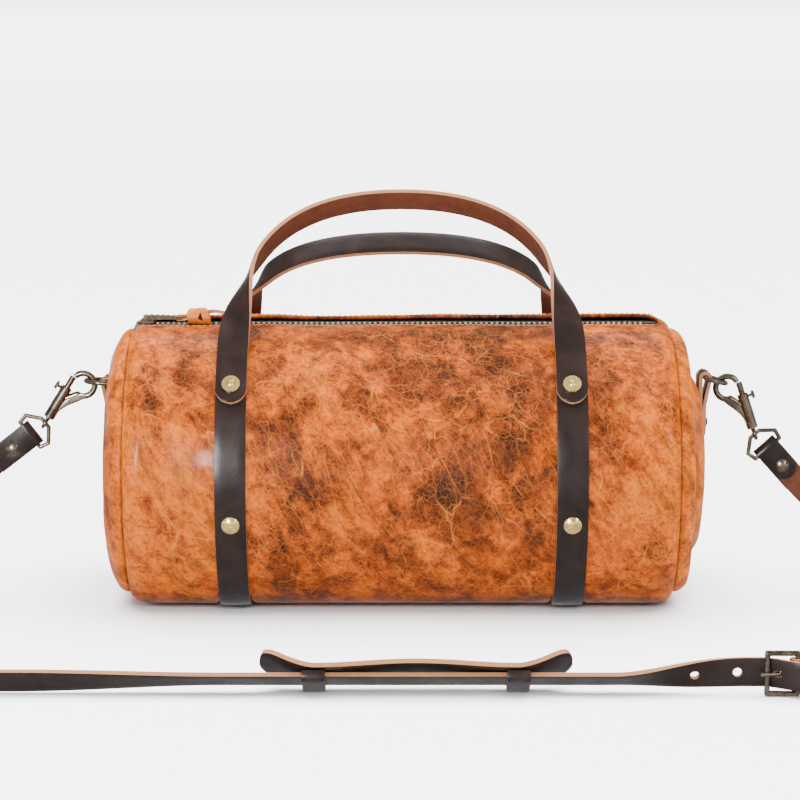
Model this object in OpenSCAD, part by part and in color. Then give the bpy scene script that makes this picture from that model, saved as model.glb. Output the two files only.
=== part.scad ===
// Barrel-shaped leather bag with a zipped top, two arched hand straps, and a buckled shoulder strap that
// hangs by a swivelling snap hook from a D-ring at each end. The strap lies in front on the floor.
// X runs along the barrel, -Y is the front, Z is up, and the bag stands on z = 0.

/* [Body] */
// Radius of the round section
body_r = 91.5; // [88:0.5:95]
// Distance between the two end seams
body_len = 326; // [310:1:345]
// Thickness of the body and end leather
wall = 2.2; // [1.8:0.1:2.6]
// Height of the round section that sags flat where the bag stands
flat_drop = 11; // [8:0.5:13]
// Radius of the stuffed roll around each end panel
roll_r = 13; // [11:0.5:15]
// How far the left end panel stands out past its seam
puff_left = 13.5; // [13.2:0.1:17]
// How far the right end panel stands out past its seam
puff_right = 19.5; // [13.2:0.1:22]
// Radius of the flat middle of an end panel
panel_flat_r = 58; // [54:1:60]

/* [Zip] */
// Angle by which the zip lies forward of the top
zip_roll = 6; // [3:0.5:8]
// Width of the slot in the leather
zip_slot_w = 13; // [12:0.5:15]
// Distance of the slot's ends from the end seams
zip_inset = 1; // [0.5:0.5:3]
// Width of one tape
tape_w = 13; // [11:0.5:16]
// Thickness of the tapes
tape_t = 0.8; // [0.6:0.1:1]
// Distance from the middle of the zip to a tape's edge
tape_gap = 1.6; // [1.6:0.1:2]
// Spacing of the teeth on one tape
tooth_pitch = 3.24; // [3:0.02:3.6]
// Width of one tooth along the zip
tooth_w = 1.3; // [1:0.1:1.4]
// Height of one tooth
tooth_h = 2; // [1.6:0.1:2.2]
// How far a tooth reaches past the middle of the zip
tooth_reach = 0.8; // [0.5:0.1:1]
// Length of the slider
slider_len = 9.5; // [8:0.5:11]
// Width of the slider
slider_w = 8.4; // [7:0.2:10]
// Radius of the pull's pin
pull_pin_r = 0.8; // [0.7:0.05:0.9]
// Length of the metal pull from its pin
pull_len = 21; // [18:1:26]
// Width of the metal pull
pull_w = 5; // [4.4:0.2:5.6]
// Radius of the knot in the pull's lace
knot_r = 4.9; // [4:0.1:5.4]
// Width of the lace
lace_w = 5; // [3:0.5:6]

/* [Bands and handles] */
// Width of the bands and handles
band_w = 19; // [16:0.5:22]
// Thickness of the bands and handles
band_t = 3; // [2.6:0.1:3.4]
// Distance of the bands from the middle of the bag
band_x = 100; // [90:1:110]
// Angle from the top at which a handle is riveted on
handle_rivet_a = 52; // [51:1:54]
// Angle from the top at which a band's own rivet sits
band_rivet_a = 103; // [98:1:108]
// Angle from the top at which a band ends
band_end_a = 48.5; // [46:0.5:48.5]
// Length of a handle's end below its rivet
handle_tail = 11.5; // [10.5:0.5:14]
// Distance from a handle's rivet to the fold on which it swings
handle_fold = 14; // [12:0.5:17]
// Height of the front arch above its rivets, along its slope
arch_front_h = 132.5; // [125:0.5:145]
// Height at which the front arch starts to lean in
arch_front_rise = 70; // [60:1:80]
// Half width of the front arch's shoulders
arch_front_shoulder = 90; // [80:1:96]
// Height of the rear arch above its rivets, along its slope
arch_rear_h = 95.5; // [90:0.5:104]
// Height at which the rear arch starts to lean in
arch_rear_rise = 60; // [50:1:66]
// Half width of the rear arch's shoulders
arch_rear_shoulder = 80; // [74:1:88]
// Number of steps along half an arch
arch_steps = 24; // [16:1:32]

/* [Rivets] */
// Radius of every rivet's shank
shank_r = 2; // [1.6:0.1:2.2]
// Radius of the flat heads inside the leather
inner_head_r = 5.5; // [4.5:0.1:6]
// Thickness of the flat heads and burrs
head_t = 1.2; // [1:0.1:1.5]
// Radius of the burr under a handle's rivet
burr_r = 5.35; // [4.8:0.05:6]
// Radius of the peened dome on a burr
peen_r = 2.4; // [2.3:0.1:3]
// Radius of the caps on the bands
cap_r = 5.3; // [4.6:0.1:6]
// Height of the caps
cap_h = 2; // [1.4:0.1:2.6]
// Radius of the caps on the tabs and strap ends
small_cap_r = 4; // [3.4:0.1:4.4]

/* [End tabs and rings] */
// Width of the end tabs
tab_w = 16; // [14:0.5:17]
// Thickness of the tab leather
tab_t = 2.5; // [2:0.1:2.8]
// Height of the left ring's bar
ring_z_left = 132; // [128:1:134]
// Height of the right ring's bar
ring_z_right = 135; // [130:1:137]
// Length of a tab below the ring's bar
tab_len = 37; // [33:1:42]
// Radius of the D-ring wire
d_wire_r = 1.4; // [1.2:0.1:1.5]
// Half length of the D-ring's bar
d_half = 9.5; // [9:0.25:10.5]
// Length of the straight sides of the D-ring
d_side = 4.5; // [4:0.5:5]
// Tilt of the left ring below the level
d_tilt_left = -3; // [-4:1:0]
// Tilt of the right ring below the level
d_tilt_right = 16; // [14:1:18]

/* [Snap hooks] */
// Tilt of the left hook from upright
hook_tilt_left = 32; // [30:1:34]
// Tilt of the right hook from upright
hook_tilt_right = 18; // [16:1:20]
// Radius of the hook's bow along its middle
bow_r = 7.1; // [7:0.1:7.4]
// Radius of the bow's tube
bow_tube_r = 1.9; // [1.7:0.1:1.9]
// Angle at which the bow's mouth ends
bow_mouth_a = 15; // [14:1:18]
// Distance from the bow's middle out to the bolt's axis
bolt_offset = 7.7; // [7.6:0.1:8]
// Height of the bow's middle above the barrel's foot
bow_height = 28.6; // [28.4:0.1:29.5]
// Length of the hook's barrel
barrel_len = 21.8; // [21:0.2:22]
// Radius of the hook's barrel
barrel_r = 3.4; // [3.2:0.1:3.6]
// Radius of the spring bolt
bolt_r = 1.93; // [1.7:0.01:2]
// Travel of the bolt
bolt_travel = 5.5; // [4.5:0.1:5.8]
// Radius of the swivel's stud
stud_r = 1.5; // [1.3:0.05:1.5]
// Radius of the swivel's eye along its middle
eye_r = 2.8; // [2.8:0.05:3]
// Radius of the eye's wire
eye_wire_r = 1.1; // [1:0.05:1.1]
// Running clearance between turning or sliding metal pieces
fit = 0.07; // [0.05:0.01:0.1]

/* [Strap] */
// Width of the shoulder strap
strap_w = 16; // [14:0.5:17]
// Thickness of the shoulder strap
strap_t = 2.8; // [2.4:0.1:3]
// Tilt of the left strap end from upright
strap_tilt_left = 52; // [50:1:54]
// Tilt of the right strap end from upright
strap_tilt_right = 42; // [40:1:44]
// Radius of the six-sided ring's wire
hex_wire_r = 1.3; // [1.1:0.05:1.3]
// Distance from the six-sided ring's top bar to its base bar
hex_len = 12; // [12:0.5:14]
// Half length of the six-sided ring's base bar
hex_base = 9.8; // [9.6:0.1:11]
// Distance from the base bar to the strap end's rivet
end_rivet_d = 13.8; // [12.5:0.1:16]
// Length of the folded layer past that rivet
end_tail = 9; // [8:0.5:12]
// Distance of the strap's front run from the middle of the bag
run_y = 249.4; // [240:0.2:260]
// Where the front run starts
run_start = -204; // [-210:1:-195]
// Where the long strap's tip ends
run_end = 258; // [255:1:264]
// Lean of the strap under the shoulder pad
run_lean = 58; // [50:1:60]
// Lean of the strap where the left side joins it
start_lean = 35; // [30:1:40]
// Height of the strap's middle under the shoulder pad
run_z = 8.3; // [8.2:0.1:9]
// Diameter of the strap's holes
hole_d = 4.8; // [4:0.1:5.5]
// Spacing of the strap's holes
hole_pitch = 22.4; // [21:0.1:24]

/* [Buckle] */
// Height of the buckle's frame
buckle_h = 24.5; // [23:0.5:26]
// Length of the buckle's frame
buckle_len = 19; // [19:0.5:20]
// Radius of the frame's wire
buckle_wire_r = 1.5; // [1.3:0.1:1.5]
// Where the buckle's frame starts along the strap
buckle_x = 189; // [188.9:0.1:189.2]
// Radius of the prong
prong_r = 1.1; // [0.9:0.05:1.2]
// Swing of the prong in its hole
prong_swing = 4; // [2:1:5]
// Width of the leather keeper
keeper_w = 8; // [6:0.5:8]
// Thickness of the leather keeper
keeper_t = 1.6; // [1.2:0.1:2]

/* [Shoulder pad] */
// Length of the shoulder pad
pad_len = 163; // [150:1:166]
// Middle of the shoulder pad along the strap
pad_mid = 7.5; // [5:0.5:10]
// Width of the shoulder pad
pad_w = 28; // [25:0.5:29]
// Thickness of the shoulder pad
pad_t = 3.2; // [2.6:0.1:3.4]
// Width of the bridges that hold the strap
bridge_w = 12.7; // [11:0.1:14]
// Distance between the two bridges
bridge_span = 107; // [100:1:110]
// Clearance between the strap and the pad
pad_fit = 0.3; // [0.2:0.05:0.4]

/* [Hidden] */
$fn = 96;

// Middle of the round section and the places that follow from it
mid_z = body_r - flat_drop;
seam_x = body_len / 2;
face_left = -(seam_x + puff_left);
face_right = seam_x + puff_right;
band_gap = 0.3;
rivet_fit = 0.05;
head_sag = 0.2;
big = 1000;

// Zip, measured in its own frame, which is turned about the barrel's axis
under_leather = body_r - wall - 0.1;
zip_start = -seam_x + zip_inset;
zip_end = seam_x - zip_inset - 7;
slider_x = zip_start + 2.6;
tooth_z = under_leather - tape_t / 2;
teeth_start = slider_x + slider_len + 0.4;
teeth_end = zip_end - 2.4;
teeth_count = floor((teeth_end - teeth_start - tooth_w) / tooth_pitch);
plate_t = 1;
slider_top_z = tooth_z + tooth_h / 2 + 0.3;
pull_x = slider_x + slider_len / 2;
pull_z = slider_top_z + plate_t + 1.5;
pull_t = 1.2;
cheek_in = 1.15;
knot_len = 10;
lace_start = pull_x + pull_len - 3;
knot_x = pull_x + pull_len + 6;
knot_z = max(pull_z, tooth_z + tooth_h / 2 + 0.4 + knot_r);

// Handles
handle_r = body_r + band_t;
fold_gap = 0.3;

// Hooks and strap ends: along is measured up the hook's axis from the foot of its barrel
bar_left = [face_left - (tab_t + 1.75), ring_z_left];
bar_right = [face_right + (tab_t + 1.75), ring_z_right];
tab_bend_in = 1.75;
d_reach = d_side + d_half;
bow_drop = 3.2;
bolt_top = bow_height + bow_r * sin(bow_mouth_a) - bow_tube_r * sin(bow_mouth_a) - 0.35;
bolt_foot = 12;
knob_z = barrel_len - 1.8;
stud_head_z = 3;
eye_drop = eye_r + eye_wire_r + 0.4;
hex_top = 3.5;
hex_shoulder = [11, 6.5];
bar_bend_in = hex_wire_r + 0.2;
end_len = 40;
converge = 10;

// Buckle
buckle_y = -(run_y + 3.6);
front_bar_x = buckle_x + buckle_wire_r;
heel_x = buckle_x + buckle_len - buckle_wire_r;
buckle_mid_z = buckle_h / 2;
fold_in = buckle_wire_r + 0.2;
fold_out = fold_in + strap_t;
fold_flat = heel_x + 11.5;
short_end = heel_x + 25.5;
keeper_x = fold_flat + 1.5;
tip_y = strap_t + 0.2 + strap_t / 2;
prong_from = [heel_x - fold_in - 1, 0];
prong_to = [front_bar_x - 3, -(buckle_wire_r + prong_r + 0.9)];
prong_eye_r = 2.9;
prong_eye_h = 2 * prong_r + 0.3;

// Small helpers
function smooth(u) = let (c = min(1, max(0, u))) c * c * (3 - 2 * c);
function unit(v) = v / norm(v);
function bezier(p, t) =
    pow(1 - t, 3) * p[0] + 3 * pow(1 - t, 2) * t * p[1] + 3 * (1 - t) * t * t * p[2] + pow(t, 3) * p[3];
function bezier_slope(p, t) =
    3 * pow(1 - t, 2) * (p[1] - p[0]) + 6 * (1 - t) * t * (p[2] - p[1]) + 3 * t * t * (p[3] - p[2]);

// The four corners of a flat strip's section; u and v are half its width and half its thickness
function corners(c, u, v) = [c + u + v, c - u + v, c - u - v, c + u - v];

// A shape in Y and Z drawn out along X
module along_x(from, to) {
    translate([from, 0, 0])
        rotate([90, 0, 90])
            linear_extrude(to - from)
                children();
}

// A shape in X and Z drawn out along Y, half of its width to each side
module across_y(width) {
    translate([0, width / 2, 0])
        rotate([90, 0, 0])
            linear_extrude(width)
                children();
}

// A place on the round section, with Z pointing straight out of the leather
module radial(angle, x) {
    translate([x, 0, mid_z])
        rotate([-angle, 0, 0])
            children();
}

// All four corners of the bag at one angle from the top
module each_corner(angle) {
    for (side = [-1, 1])
        for (end = [-1, 1])
            radial(side * angle, end * band_x)
                children();
}

// A solid through a row of four-cornered sections
module swept(rings) {
    n = len(rings);
    points = [for (ring = rings) for (p = ring) p];
    sides = [
        for (i = [0 : n - 2])
            for (j = [0 : 3])
                let (a = i * 4 + j, b = i * 4 + (j + 1) % 4)
                    each [[a, b + 4, b], [a, a + 4, b + 4]]
    ];
    ends = [[0, 1, 2, 3], [4 * n - 1, 4 * n - 2, 4 * n - 3, 4 * n - 4]];
    polyhedron(points, concat(sides, ends), convexity = 10);
}

// A round rod between two points in the X-Z plane, with a ball at its start that is a hair thicker
module rod(a, b, r) {
    translate([a[0], 0, a[1]])
        rotate([0, atan2(b[0] - a[0], b[1] - a[1]), 0]) {
            cylinder(r = r, h = norm(b - a));
            sphere(r + 0.02);
        }
}

// A shallow cap with a flat foot
module dome(r, h) {
    ball_r = (r * r + h * h) / (2 * h);
    intersection() {
        translate([0, 0, h - ball_r])
            sphere(ball_r);
        cylinder(r = r, h = h);
    }
}

// The bag's round section above a level
module section(r, level) {
    intersection() {
        translate([0, mid_z])
            circle(r);
        translate([-big / 2, level])
            square(big);
    }
}

// Where the bands pass under the bag
module band_spans(extra) {
    for (end = [-1, 1])
        translate([end * band_x - band_w / 2 - extra, 0, 0])
            children();
}

module body_panel() {
    channel_w = band_w + 2 * band_gap;
    color("peru")
        difference() {
            along_x(-seam_x, seam_x)
                section(body_r, 0);
            band_spans(band_gap)
                translate([0, -big / 2, -1])
                    cube([channel_w, big, band_t + 1]);
            difference() {
                along_x(-seam_x - 1, seam_x + 1)
                    section(body_r - wall, wall);
                band_spans(band_gap + wall)
                    translate([0, -big / 2, -1])
                        cube([channel_w + 2 * wall, big, band_t + wall + 1]);
            }
            radial(-zip_roll, 0)
                translate([zip_start, -zip_slot_w / 2, body_r - 3 * wall])
                    cube([zip_end - zip_start, zip_slot_w, 4 * wall]);
            each_corner(handle_rivet_a)
                cylinder(r = shank_r + rivet_fit, h = body_r + 1);
            each_corner(band_rivet_a)
                cylinder(r = shank_r + rivet_fit, h = body_r + 1);
        }
}

// Outline of an end panel from the middle outward, seen from the side, with its leather left off by inset
module panel_outline(puff, inset) {
    translate([body_r - roll_r, 0])
        circle(roll_r - inset);
    polygon([
        [0, -1], [body_r - roll_r, -1], [body_r - roll_r, roll_r - inset - 1],
        [panel_flat_r, puff - inset], [0, puff - inset]
    ]);
}

// An end panel whose seam is at x = 0 and which stands out along +X, with the rivet hole through its face
module end_panel(puff, rivet_z) {
    difference() {
        intersection() {
            translate([0, 0, mid_z])
                rotate([0, 90, 0])
                    rotate_extrude()
                        intersection() {
                            panel_outline(puff, 0);
                            square(big);
                        }
            translate([0, -big / 2, 0])
                cube(big);
        }
        intersection() {
            translate([0, 0, mid_z])
                rotate([0, 90, 0])
                    rotate_extrude()
                        intersection() {
                            panel_outline(puff, wall);
                            translate([0, -1])
                                square(big);
                        }
            translate([-big / 2, -big / 2, wall])
                cube(big);
        }
        translate([0, 0, rivet_z])
            rotate([0, 90, 0])
                cylinder(r = shank_r + rivet_fit, h = puff + 1);
    }
}

module end_panel_left() {
    color("sienna")
        translate([-seam_x, 0, 0])
            mirror([1, 0, 0])
                end_panel(puff_left, tab_rivet_z(bar_left));
}

module end_panel_right() {
    color("sienna")
        translate([seam_x, 0, 0])
            end_panel(puff_right, tab_rivet_z(bar_right));
}

// One tape on the front side of the zip's middle
module zip_tape() {
    radial(-zip_roll, 0)
        along_x(zip_start - 0.5, zip_end + 5)
            difference() {
                intersection() {
                    circle(under_leather);
                    translate([-tape_gap - tape_w, 0])
                        square([tape_w, big]);
                }
                circle(under_leather - tape_t);
            }
}

module zip_tape_front() {
    color("dimgray")
        zip_tape();
}

// The rear tape is the front one turned over the zip's middle plane
module zip_tape_rear() {
    color("dimgray")
        radial(-zip_roll, 0)
            mirror([0, 1, 0])
                translate([0, 0, 0])
                    rotate([-zip_roll, 0, 0])
                        translate([0, 0, -mid_z])
                            zip_tape();
}

// A row of teeth on one side; side is -1 for the front
module zip_teeth(side) {
    shift = side < 0 ? 0 : tooth_pitch / 2;
    inner = -side * tooth_reach;
    outer = side * tape_gap;
    radial(-zip_roll, 0)
        for (i = [0 : teeth_count - 1])
            translate([teeth_start + shift + i * tooth_pitch, min(inner, outer), tooth_z - tooth_h / 2])
                cube([tooth_w, tape_gap + tooth_reach, tooth_h]);
}

module zip_teeth_front() {
    color("gray")
        zip_teeth(-1);
}

module zip_teeth_rear() {
    color("gray")
        zip_teeth(1);
}

module zip_stops() {
    stop_len = 1.6;
    color("gray")
        radial(-zip_roll, 0)
            for (x = [zip_start + 0.2, zip_end - stop_len])
                translate([x, -tape_gap, tooth_z - tooth_h / 2])
                    cube([stop_len, 2 * tape_gap, tooth_h]);
}

// A flat plate with round corners, lying along X from its left end
module rounded_plate(length, width, thick, r) {
    linear_extrude(thick) {
        translate([0, r - width / 2])
            square([length, width - 2 * r]);
        translate([r, -width / 2])
            square([length - 2 * r, width]);
        for (x = [r, length - r])
            for (y = [-1, 1])
                translate([x, y * (width / 2 - r)])
                    circle(r);
    }
}

module zip_slider() {
    low_z = tooth_z - tooth_h / 2 - 0.3 - plate_t;
    post = 4;
    bridge_t = 2;
    color("darkgoldenrod")
        radial(-zip_roll, 0) {
            translate([slider_x, 0, slider_top_z])
                rounded_plate(slider_len, slider_w, plate_t, 1.5);
            translate([slider_x, 0, low_z])
                rounded_plate(slider_len, slider_w, plate_t, 1.5);
            translate([slider_x + 0.5, 0.1 - tape_gap, low_z + plate_t / 2])
                cube([post, 2 * tape_gap - 0.2, slider_top_z - low_z]);
            difference() {
                translate([pull_x - 3, -bridge_t / 2, slider_top_z])
                    cube([6, bridge_t, pull_z - slider_top_z + 1.7]);
                translate([pull_x, 0, pull_z])
                    rotate([90, 0, 0])
                        cylinder(r = pull_pin_r + rivet_fit, h = 2 * bridge_t, center = true);
            }
        }
}

module zip_pull() {
    cheek_r = 1.3;
    cheek_len = 4.6;
    color("darkgoldenrod")
        radial(-zip_roll, 0)
            translate([pull_x, 0, pull_z])
                difference() {
                    union() {
                        rotate([90, 0, 0])
                            cylinder(r = pull_pin_r, h = pull_w, center = true);
                        for (side = [-1, 1])
                            translate([0, side * (pull_w / 2 + cheek_in) / 2, 0]) {
                                rotate([90, 0, 0])
                                    cylinder(r = cheek_r, h = pull_w / 2 - cheek_in, center = true);
                                translate([0, cheek_in / 2 - pull_w / 4, -pull_t / 2])
                                    cube([cheek_len, pull_w / 2 - cheek_in, pull_t]);
                            }
                        translate([cheek_len - 0.5, 0, -pull_t / 2])
                            rounded_plate(pull_len - cheek_len + 0.5, pull_w, pull_t, 1);
                    }
                    translate([pull_len - 3.2, -1.1, -pull_t])
                        cube([1.7, 2.2, 2 * pull_t]);
                }
}

// The lace loops through the end of the pull, is knotted, and leaves a flat tail
module zip_pull_lace() {
    lace_t = 1.4;
    tail_len = 14;
    wrap_r = knot_r / 2;
    color("chocolate")
        radial(-zip_roll, 0) {
            translate([lace_start + 0.3, -1, 0.2 + pull_z - pull_t])
                cube([0.9, 2, 2 * pull_t]);
            translate([lace_start + 0.3, -lace_w / 2, pull_z + pull_t / 2 + 0.1])
                cube([knot_x - lace_start, lace_w, lace_t]);
            translate([knot_x, 0, knot_z])
                rotate([0, 90, 0])
                    rotate_extrude() {
                        for (wrap = [-1, 1])
                            translate([knot_r - wrap_r, wrap * knot_len / 4.2])
                                circle(wrap_r);
                        translate([0, -knot_len / 4])
                            square([knot_r - wrap_r / 2, knot_len / 2]);
                    }
            translate([knot_x, -lace_w / 2, knot_z - 2.4])
                cube([tail_len, lace_w, lace_t]);
        }
}

// A band lies on the round leather and passes under the bag in its channel
module band(x) {
    difference() {
        along_x(x - band_w / 2, x + band_w / 2)
            difference() {
                section(body_r + band_t, 0);
                section(body_r, band_t);
                translate([0, mid_z])
                    polygon([[0, 0], big * [-sin(band_end_a), cos(band_end_a)], [0, 2 * big],
                        big * [sin(band_end_a), cos(band_end_a)]]);
            }
        for (side = [-1, 1])
            for (a = [handle_rivet_a, band_rivet_a])
                radial(side * a, x)
                    cylinder(r = shank_r + rivet_fit, h = body_r + 2 * band_t);
    }
}

module band_left() {
    color("saddlebrown")
        band(-band_x);
}

module band_right() {
    color("saddlebrown")
        band(band_x);
}

// A rivet's shank through the leather with its flat head inside
module shank(top) {
    foot = body_r - wall - head_sag - head_t;
    translate([0, 0, foot])
        cylinder(r = inner_head_r, h = head_t);
    translate([0, 0, foot + head_t / 2])
        cylinder(r = shank_r, h = top - foot - head_t / 2);
}

module band_rivets() {
    color("gold")
        each_corner(band_rivet_a) {
            shank(handle_r + 0.2);
            translate([0, 0, handle_r])
                dome(cap_r, cap_h);
        }
}

module handle_rivets() {
    top = handle_r + band_t + head_t;
    color("gold")
        each_corner(handle_rivet_a) {
            shank(top + 0.2);
            translate([0, 0, top])
                dome(peen_r, 1.2);
        }
}

module handle_rivet_burrs() {
    color("goldenrod")
        each_corner(handle_rivet_a)
            translate([0, 0, handle_r + band_t])
                difference() {
                    cylinder(r = burr_r, h = head_t);
                    translate([0, 0, -1])
                        cylinder(r = shank_r + rivet_fit, h = head_t + 2);
                }
}

// One fixed end of a front handle: round at its foot, along the band to the rivet, then straight to its fold
module handle_end(x) {
    radial(-handle_rivet_a, x)
        difference() {
            intersection() {
                along_x(-band_w / 2, band_w / 2) {
                    difference() {
                        circle(handle_r + band_t);
                        circle(handle_r);
                        translate([0, -big])
                            square(2 * big);
                    }
                    translate([0, handle_r])
                        square([handle_fold, band_t]);
                }
                linear_extrude(big) {
                    translate([0, band_w / 2 - handle_tail])
                        circle(band_w / 2);
                    translate([-band_w / 2, band_w / 2 - handle_tail])
                        square([band_w, big]);
                }
            }
            cylinder(r = shank_r + rivet_fit, h = big);
        }
}

module handle_ends() {
    for (end = [-1, 1])
        handle_end(end * band_x);
}

module handle_front_ends() {
    color("saddlebrown")
        handle_ends();
}

module handle_rear_ends() {
    color("saddlebrown")
        mirror([0, 1, 0])
            handle_ends();
}

// A front arch, from one fold over the top to the other; its strip turns edge-on towards the top
module arch(height, rise, shoulder) {
    rest_r = handle_r + band_t / 2;
    out = [0, -sin(handle_rivet_a), cos(handle_rivet_a)];
    up = [0, cos(handle_rivet_a), sin(handle_rivet_a)];
    base = [0, 0, mid_z] + rest_r * out;
    path = [[band_x, handle_fold + fold_gap], [band_x, rise], [shoulder, height], [0, height]];
    turn_from = 0.05;
    turn_to = 0.5;
    swept([
        for (i = [-arch_steps : arch_steps])
            let (
                t = 1 - abs(i) / arch_steps,
                side = i < 0 ? -1 : 1,
                flip = [[side, 0, 0], [0, 1, 0], [0, 0, 1]],
                p = bezier(path, t),
                d = unit(bezier_slope(path, t)),
                across = [d[1], 0, 0] - d[0] * up,
                turn = 90 * smooth((t - turn_from) / (turn_to - turn_from)),
                thick = cos(turn) * out + sin(turn) * across,
                wide = cos(turn) * across - sin(turn) * out
            )
            [for (q = corners(base + [p[0], 0, 0] + p[1] * up, wide * band_w / 2, thick * band_t / 2)) flip * q]
    ]);
}

module handle_front() {
    color("brown")
        arch(arch_front_h, arch_front_rise, arch_front_shoulder);
}

module handle_rear() {
    color("brown")
        mirror([0, 1, 0])
            arch(arch_rear_h, arch_rear_rise, arch_rear_shoulder);
}

// Height of a tab's rivet below its ring's bar
function tab_rivet_z(bar) = bar[1] - tab_len + tab_w / 2 + 1;

// A right-hand tab folded over the ring's bar, with both layers down the end panel
module end_tab(face, bar) {
    bend_out = tab_bend_in + tab_t;
    foot = bar[1] - tab_len;
    flat_z = bar[1] - 17;
    difference() {
        intersection() {
            across_y(tab_w) {
                translate(bar)
                    difference() {
                        circle(bend_out);
                        circle(tab_bend_in);
                        translate([-big / 2, -big])
                            square(big);
                    }
                translate([face, foot])
                    square([tab_t, tab_len]);
                polygon([
                    [bar[0] + tab_bend_in, bar[1]], [bar[0] + bend_out, bar[1]], [face + 2 * tab_t, flat_z],
                    [face + 2 * tab_t, foot], [face + tab_t, foot], [face + tab_t, flat_z]
                ]);
            }
            rotate([90, 0, 90])
                linear_extrude(big) {
                    translate([0, foot + tab_w / 2])
                        circle(tab_w / 2);
                    translate([-tab_w / 2, foot + tab_w / 2])
                        square([tab_w, big]);
                }
        }
        translate([0, 0, tab_rivet_z(bar)])
            rotate([0, 90, 0])
                cylinder(r = shank_r + rivet_fit, h = big);
    }
}

module tab_rivet(face, bar) {
    foot = face - wall - head_t;
    top = face + 2 * tab_t;
    translate([0, 0, tab_rivet_z(bar)])
        rotate([0, 90, 0]) {
            translate([0, 0, foot])
                cylinder(r = inner_head_r, h = head_t);
            translate([0, 0, foot + head_t / 2])
                cylinder(r = shank_r, h = top - foot);
            translate([0, 0, top])
                dome(small_cap_r, cap_h);
        }
}

// The left side of the bag is worked out as a right side and then turned over
function flipped(v) = [-v[0], v[1]];

module end_tab_left() {
    color("saddlebrown")
        mirror([1, 0, 0])
            end_tab(-face_left, flipped(bar_left));
}

module end_tab_right() {
    color("saddlebrown")
        end_tab(face_right, bar_right);
}

module end_tab_rivets() {
    color("gold") {
        mirror([1, 0, 0])
            tab_rivet(-face_left, flipped(bar_left));
        tab_rivet(face_right, bar_right);
    }
}

// A D-ring on the right, with its straight bar through the tab
module d_ring(bar, tilt) {
    translate([bar[0], 0, bar[1]])
        rotate([0, tilt, 0]) {
            rotate([90, 0, 0])
                cylinder(r = d_wire_r, h = 2 * d_half, center = true);
            for (side = [-1, 1])
                translate([0, side * d_half, 0]) {
                    sphere(d_wire_r);
                    rotate([0, 90, 0])
                        cylinder(r = d_wire_r, h = d_side);
                }
            translate([d_side, 0, 0])
                rotate([0, 0, -90])
                    rotate_extrude(angle = 180)
                        translate([d_half, 0])
                            circle(d_wire_r);
        }
}

module d_ring_left() {
    color("slategray")
        mirror([1, 0, 0])
            d_ring(flipped(bar_left), d_tilt_left);
}

module d_ring_right() {
    color("slategray")
        d_ring(bar_right, d_tilt_right);
}

// Directions of a hook: down its axis, and outward across it
function down(tilt) = [sin(tilt), -cos(tilt)];
function outward(tilt) = [cos(tilt), sin(tilt)];

// The ring's tip rests just under the top of the bow
function bow_mid(bar, d_tilt, tilt) = bar + d_reach * [cos(d_tilt), -sin(d_tilt)] + bow_drop * down(tilt);
function barrel_foot(bar, d_tilt, tilt) =
    bow_mid(bar, d_tilt, tilt) + bow_height * down(tilt) + bolt_offset * outward(tilt);
function eye_mid(bar, d_tilt, tilt) = barrel_foot(bar, d_tilt, tilt) + eye_drop * down(tilt);

// The hook's own frame: Z runs up the barrel from its foot, and X points outward
module hook_frame(bar, d_tilt, tilt) {
    foot = barrel_foot(bar, d_tilt, tilt);
    translate([foot[0], 0, foot[1]])
        rotate([0, -tilt, 0])
            children();
}

module hook(bar, d_tilt, tilt) {
    hook_frame(bar, d_tilt, tilt)
        difference() {
            union() {
                cylinder(r = barrel_r, h = barrel_len);
                translate([-bolt_offset, 0, bow_height])
                    rotate([90, 0, 0]) {
                        rotate([0, 0, bow_mouth_a])
                            rotate_extrude(angle = 270 - bow_mouth_a)
                                translate([bow_r, 0])
                                    circle(bow_tube_r);
                    }
                rod([-bolt_offset, bow_height - bow_r], [-bolt_r - 1, barrel_len - 6.5], bow_tube_r + 0.15);
            }
            translate([0, 0, stud_head_z])
                cylinder(r = bolt_r + fit, h = barrel_len);
            translate([0, 0, -1])
                cylinder(r = stud_r + fit, h = barrel_len);
            translate([0, -1.05, knob_z - bolt_travel - 1.2])
                cube([2 * barrel_r, 2.1, barrel_len]);
        }
}

module hook_bolt(bar, d_tilt, tilt) {
    stem_r = 0.9;
    knob_r = 2.6;
    hook_frame(bar, d_tilt, tilt) {
        translate([0, 0, bolt_foot])
            cylinder(r = bolt_r, h = bolt_top - bolt_foot);
        translate([0, 0, knob_z])
            rotate([0, 90, 0]) {
                cylinder(r = stem_r, h = barrel_r + 2.4);
                translate([0, 0, barrel_r + 1.9])
                    cylinder(r = knob_r, h = 1.7);
            }
    }
}

// The spring stands for its coils, between the stud's head and the bolt
module hook_spring(bar, d_tilt, tilt) {
    hook_frame(bar, d_tilt, tilt)
        translate([0, 0, stud_head_z + 1.05])
            difference() {
                cylinder(r = bolt_r - 0.1, h = bolt_foot - stud_head_z - 1.1);
                translate([0, 0, -1])
                    cylinder(r = bolt_r - 0.8, h = bolt_foot);
            }
}

module swivel_eye(bar, d_tilt, tilt) {
    hook_frame(bar, d_tilt, tilt) {
        translate([0, 0, -eye_drop])
            rotate([0, 90, 0])
                rotate_extrude()
                    translate([eye_r, 0])
                        circle(eye_wire_r);
        translate([0, 0, -eye_drop + eye_r])
            cylinder(r = stud_r, h = stud_head_z + eye_drop - eye_r + 0.5);
        translate([0, 0, stud_head_z + 0.1])
            cylinder(r = bolt_r - 0.05, h = 0.9);
    }
}

// The strap end's own frame: X across the strap, Z up it, from the six-sided ring's top bar
module strap_end_frame(bar, d_tilt, tilt, strap_tilt) {
    top = eye_mid(bar, d_tilt, tilt);
    translate([top[0], 0, top[1]])
        rotate([0, -strap_tilt, 0])
            children();
}

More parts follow.
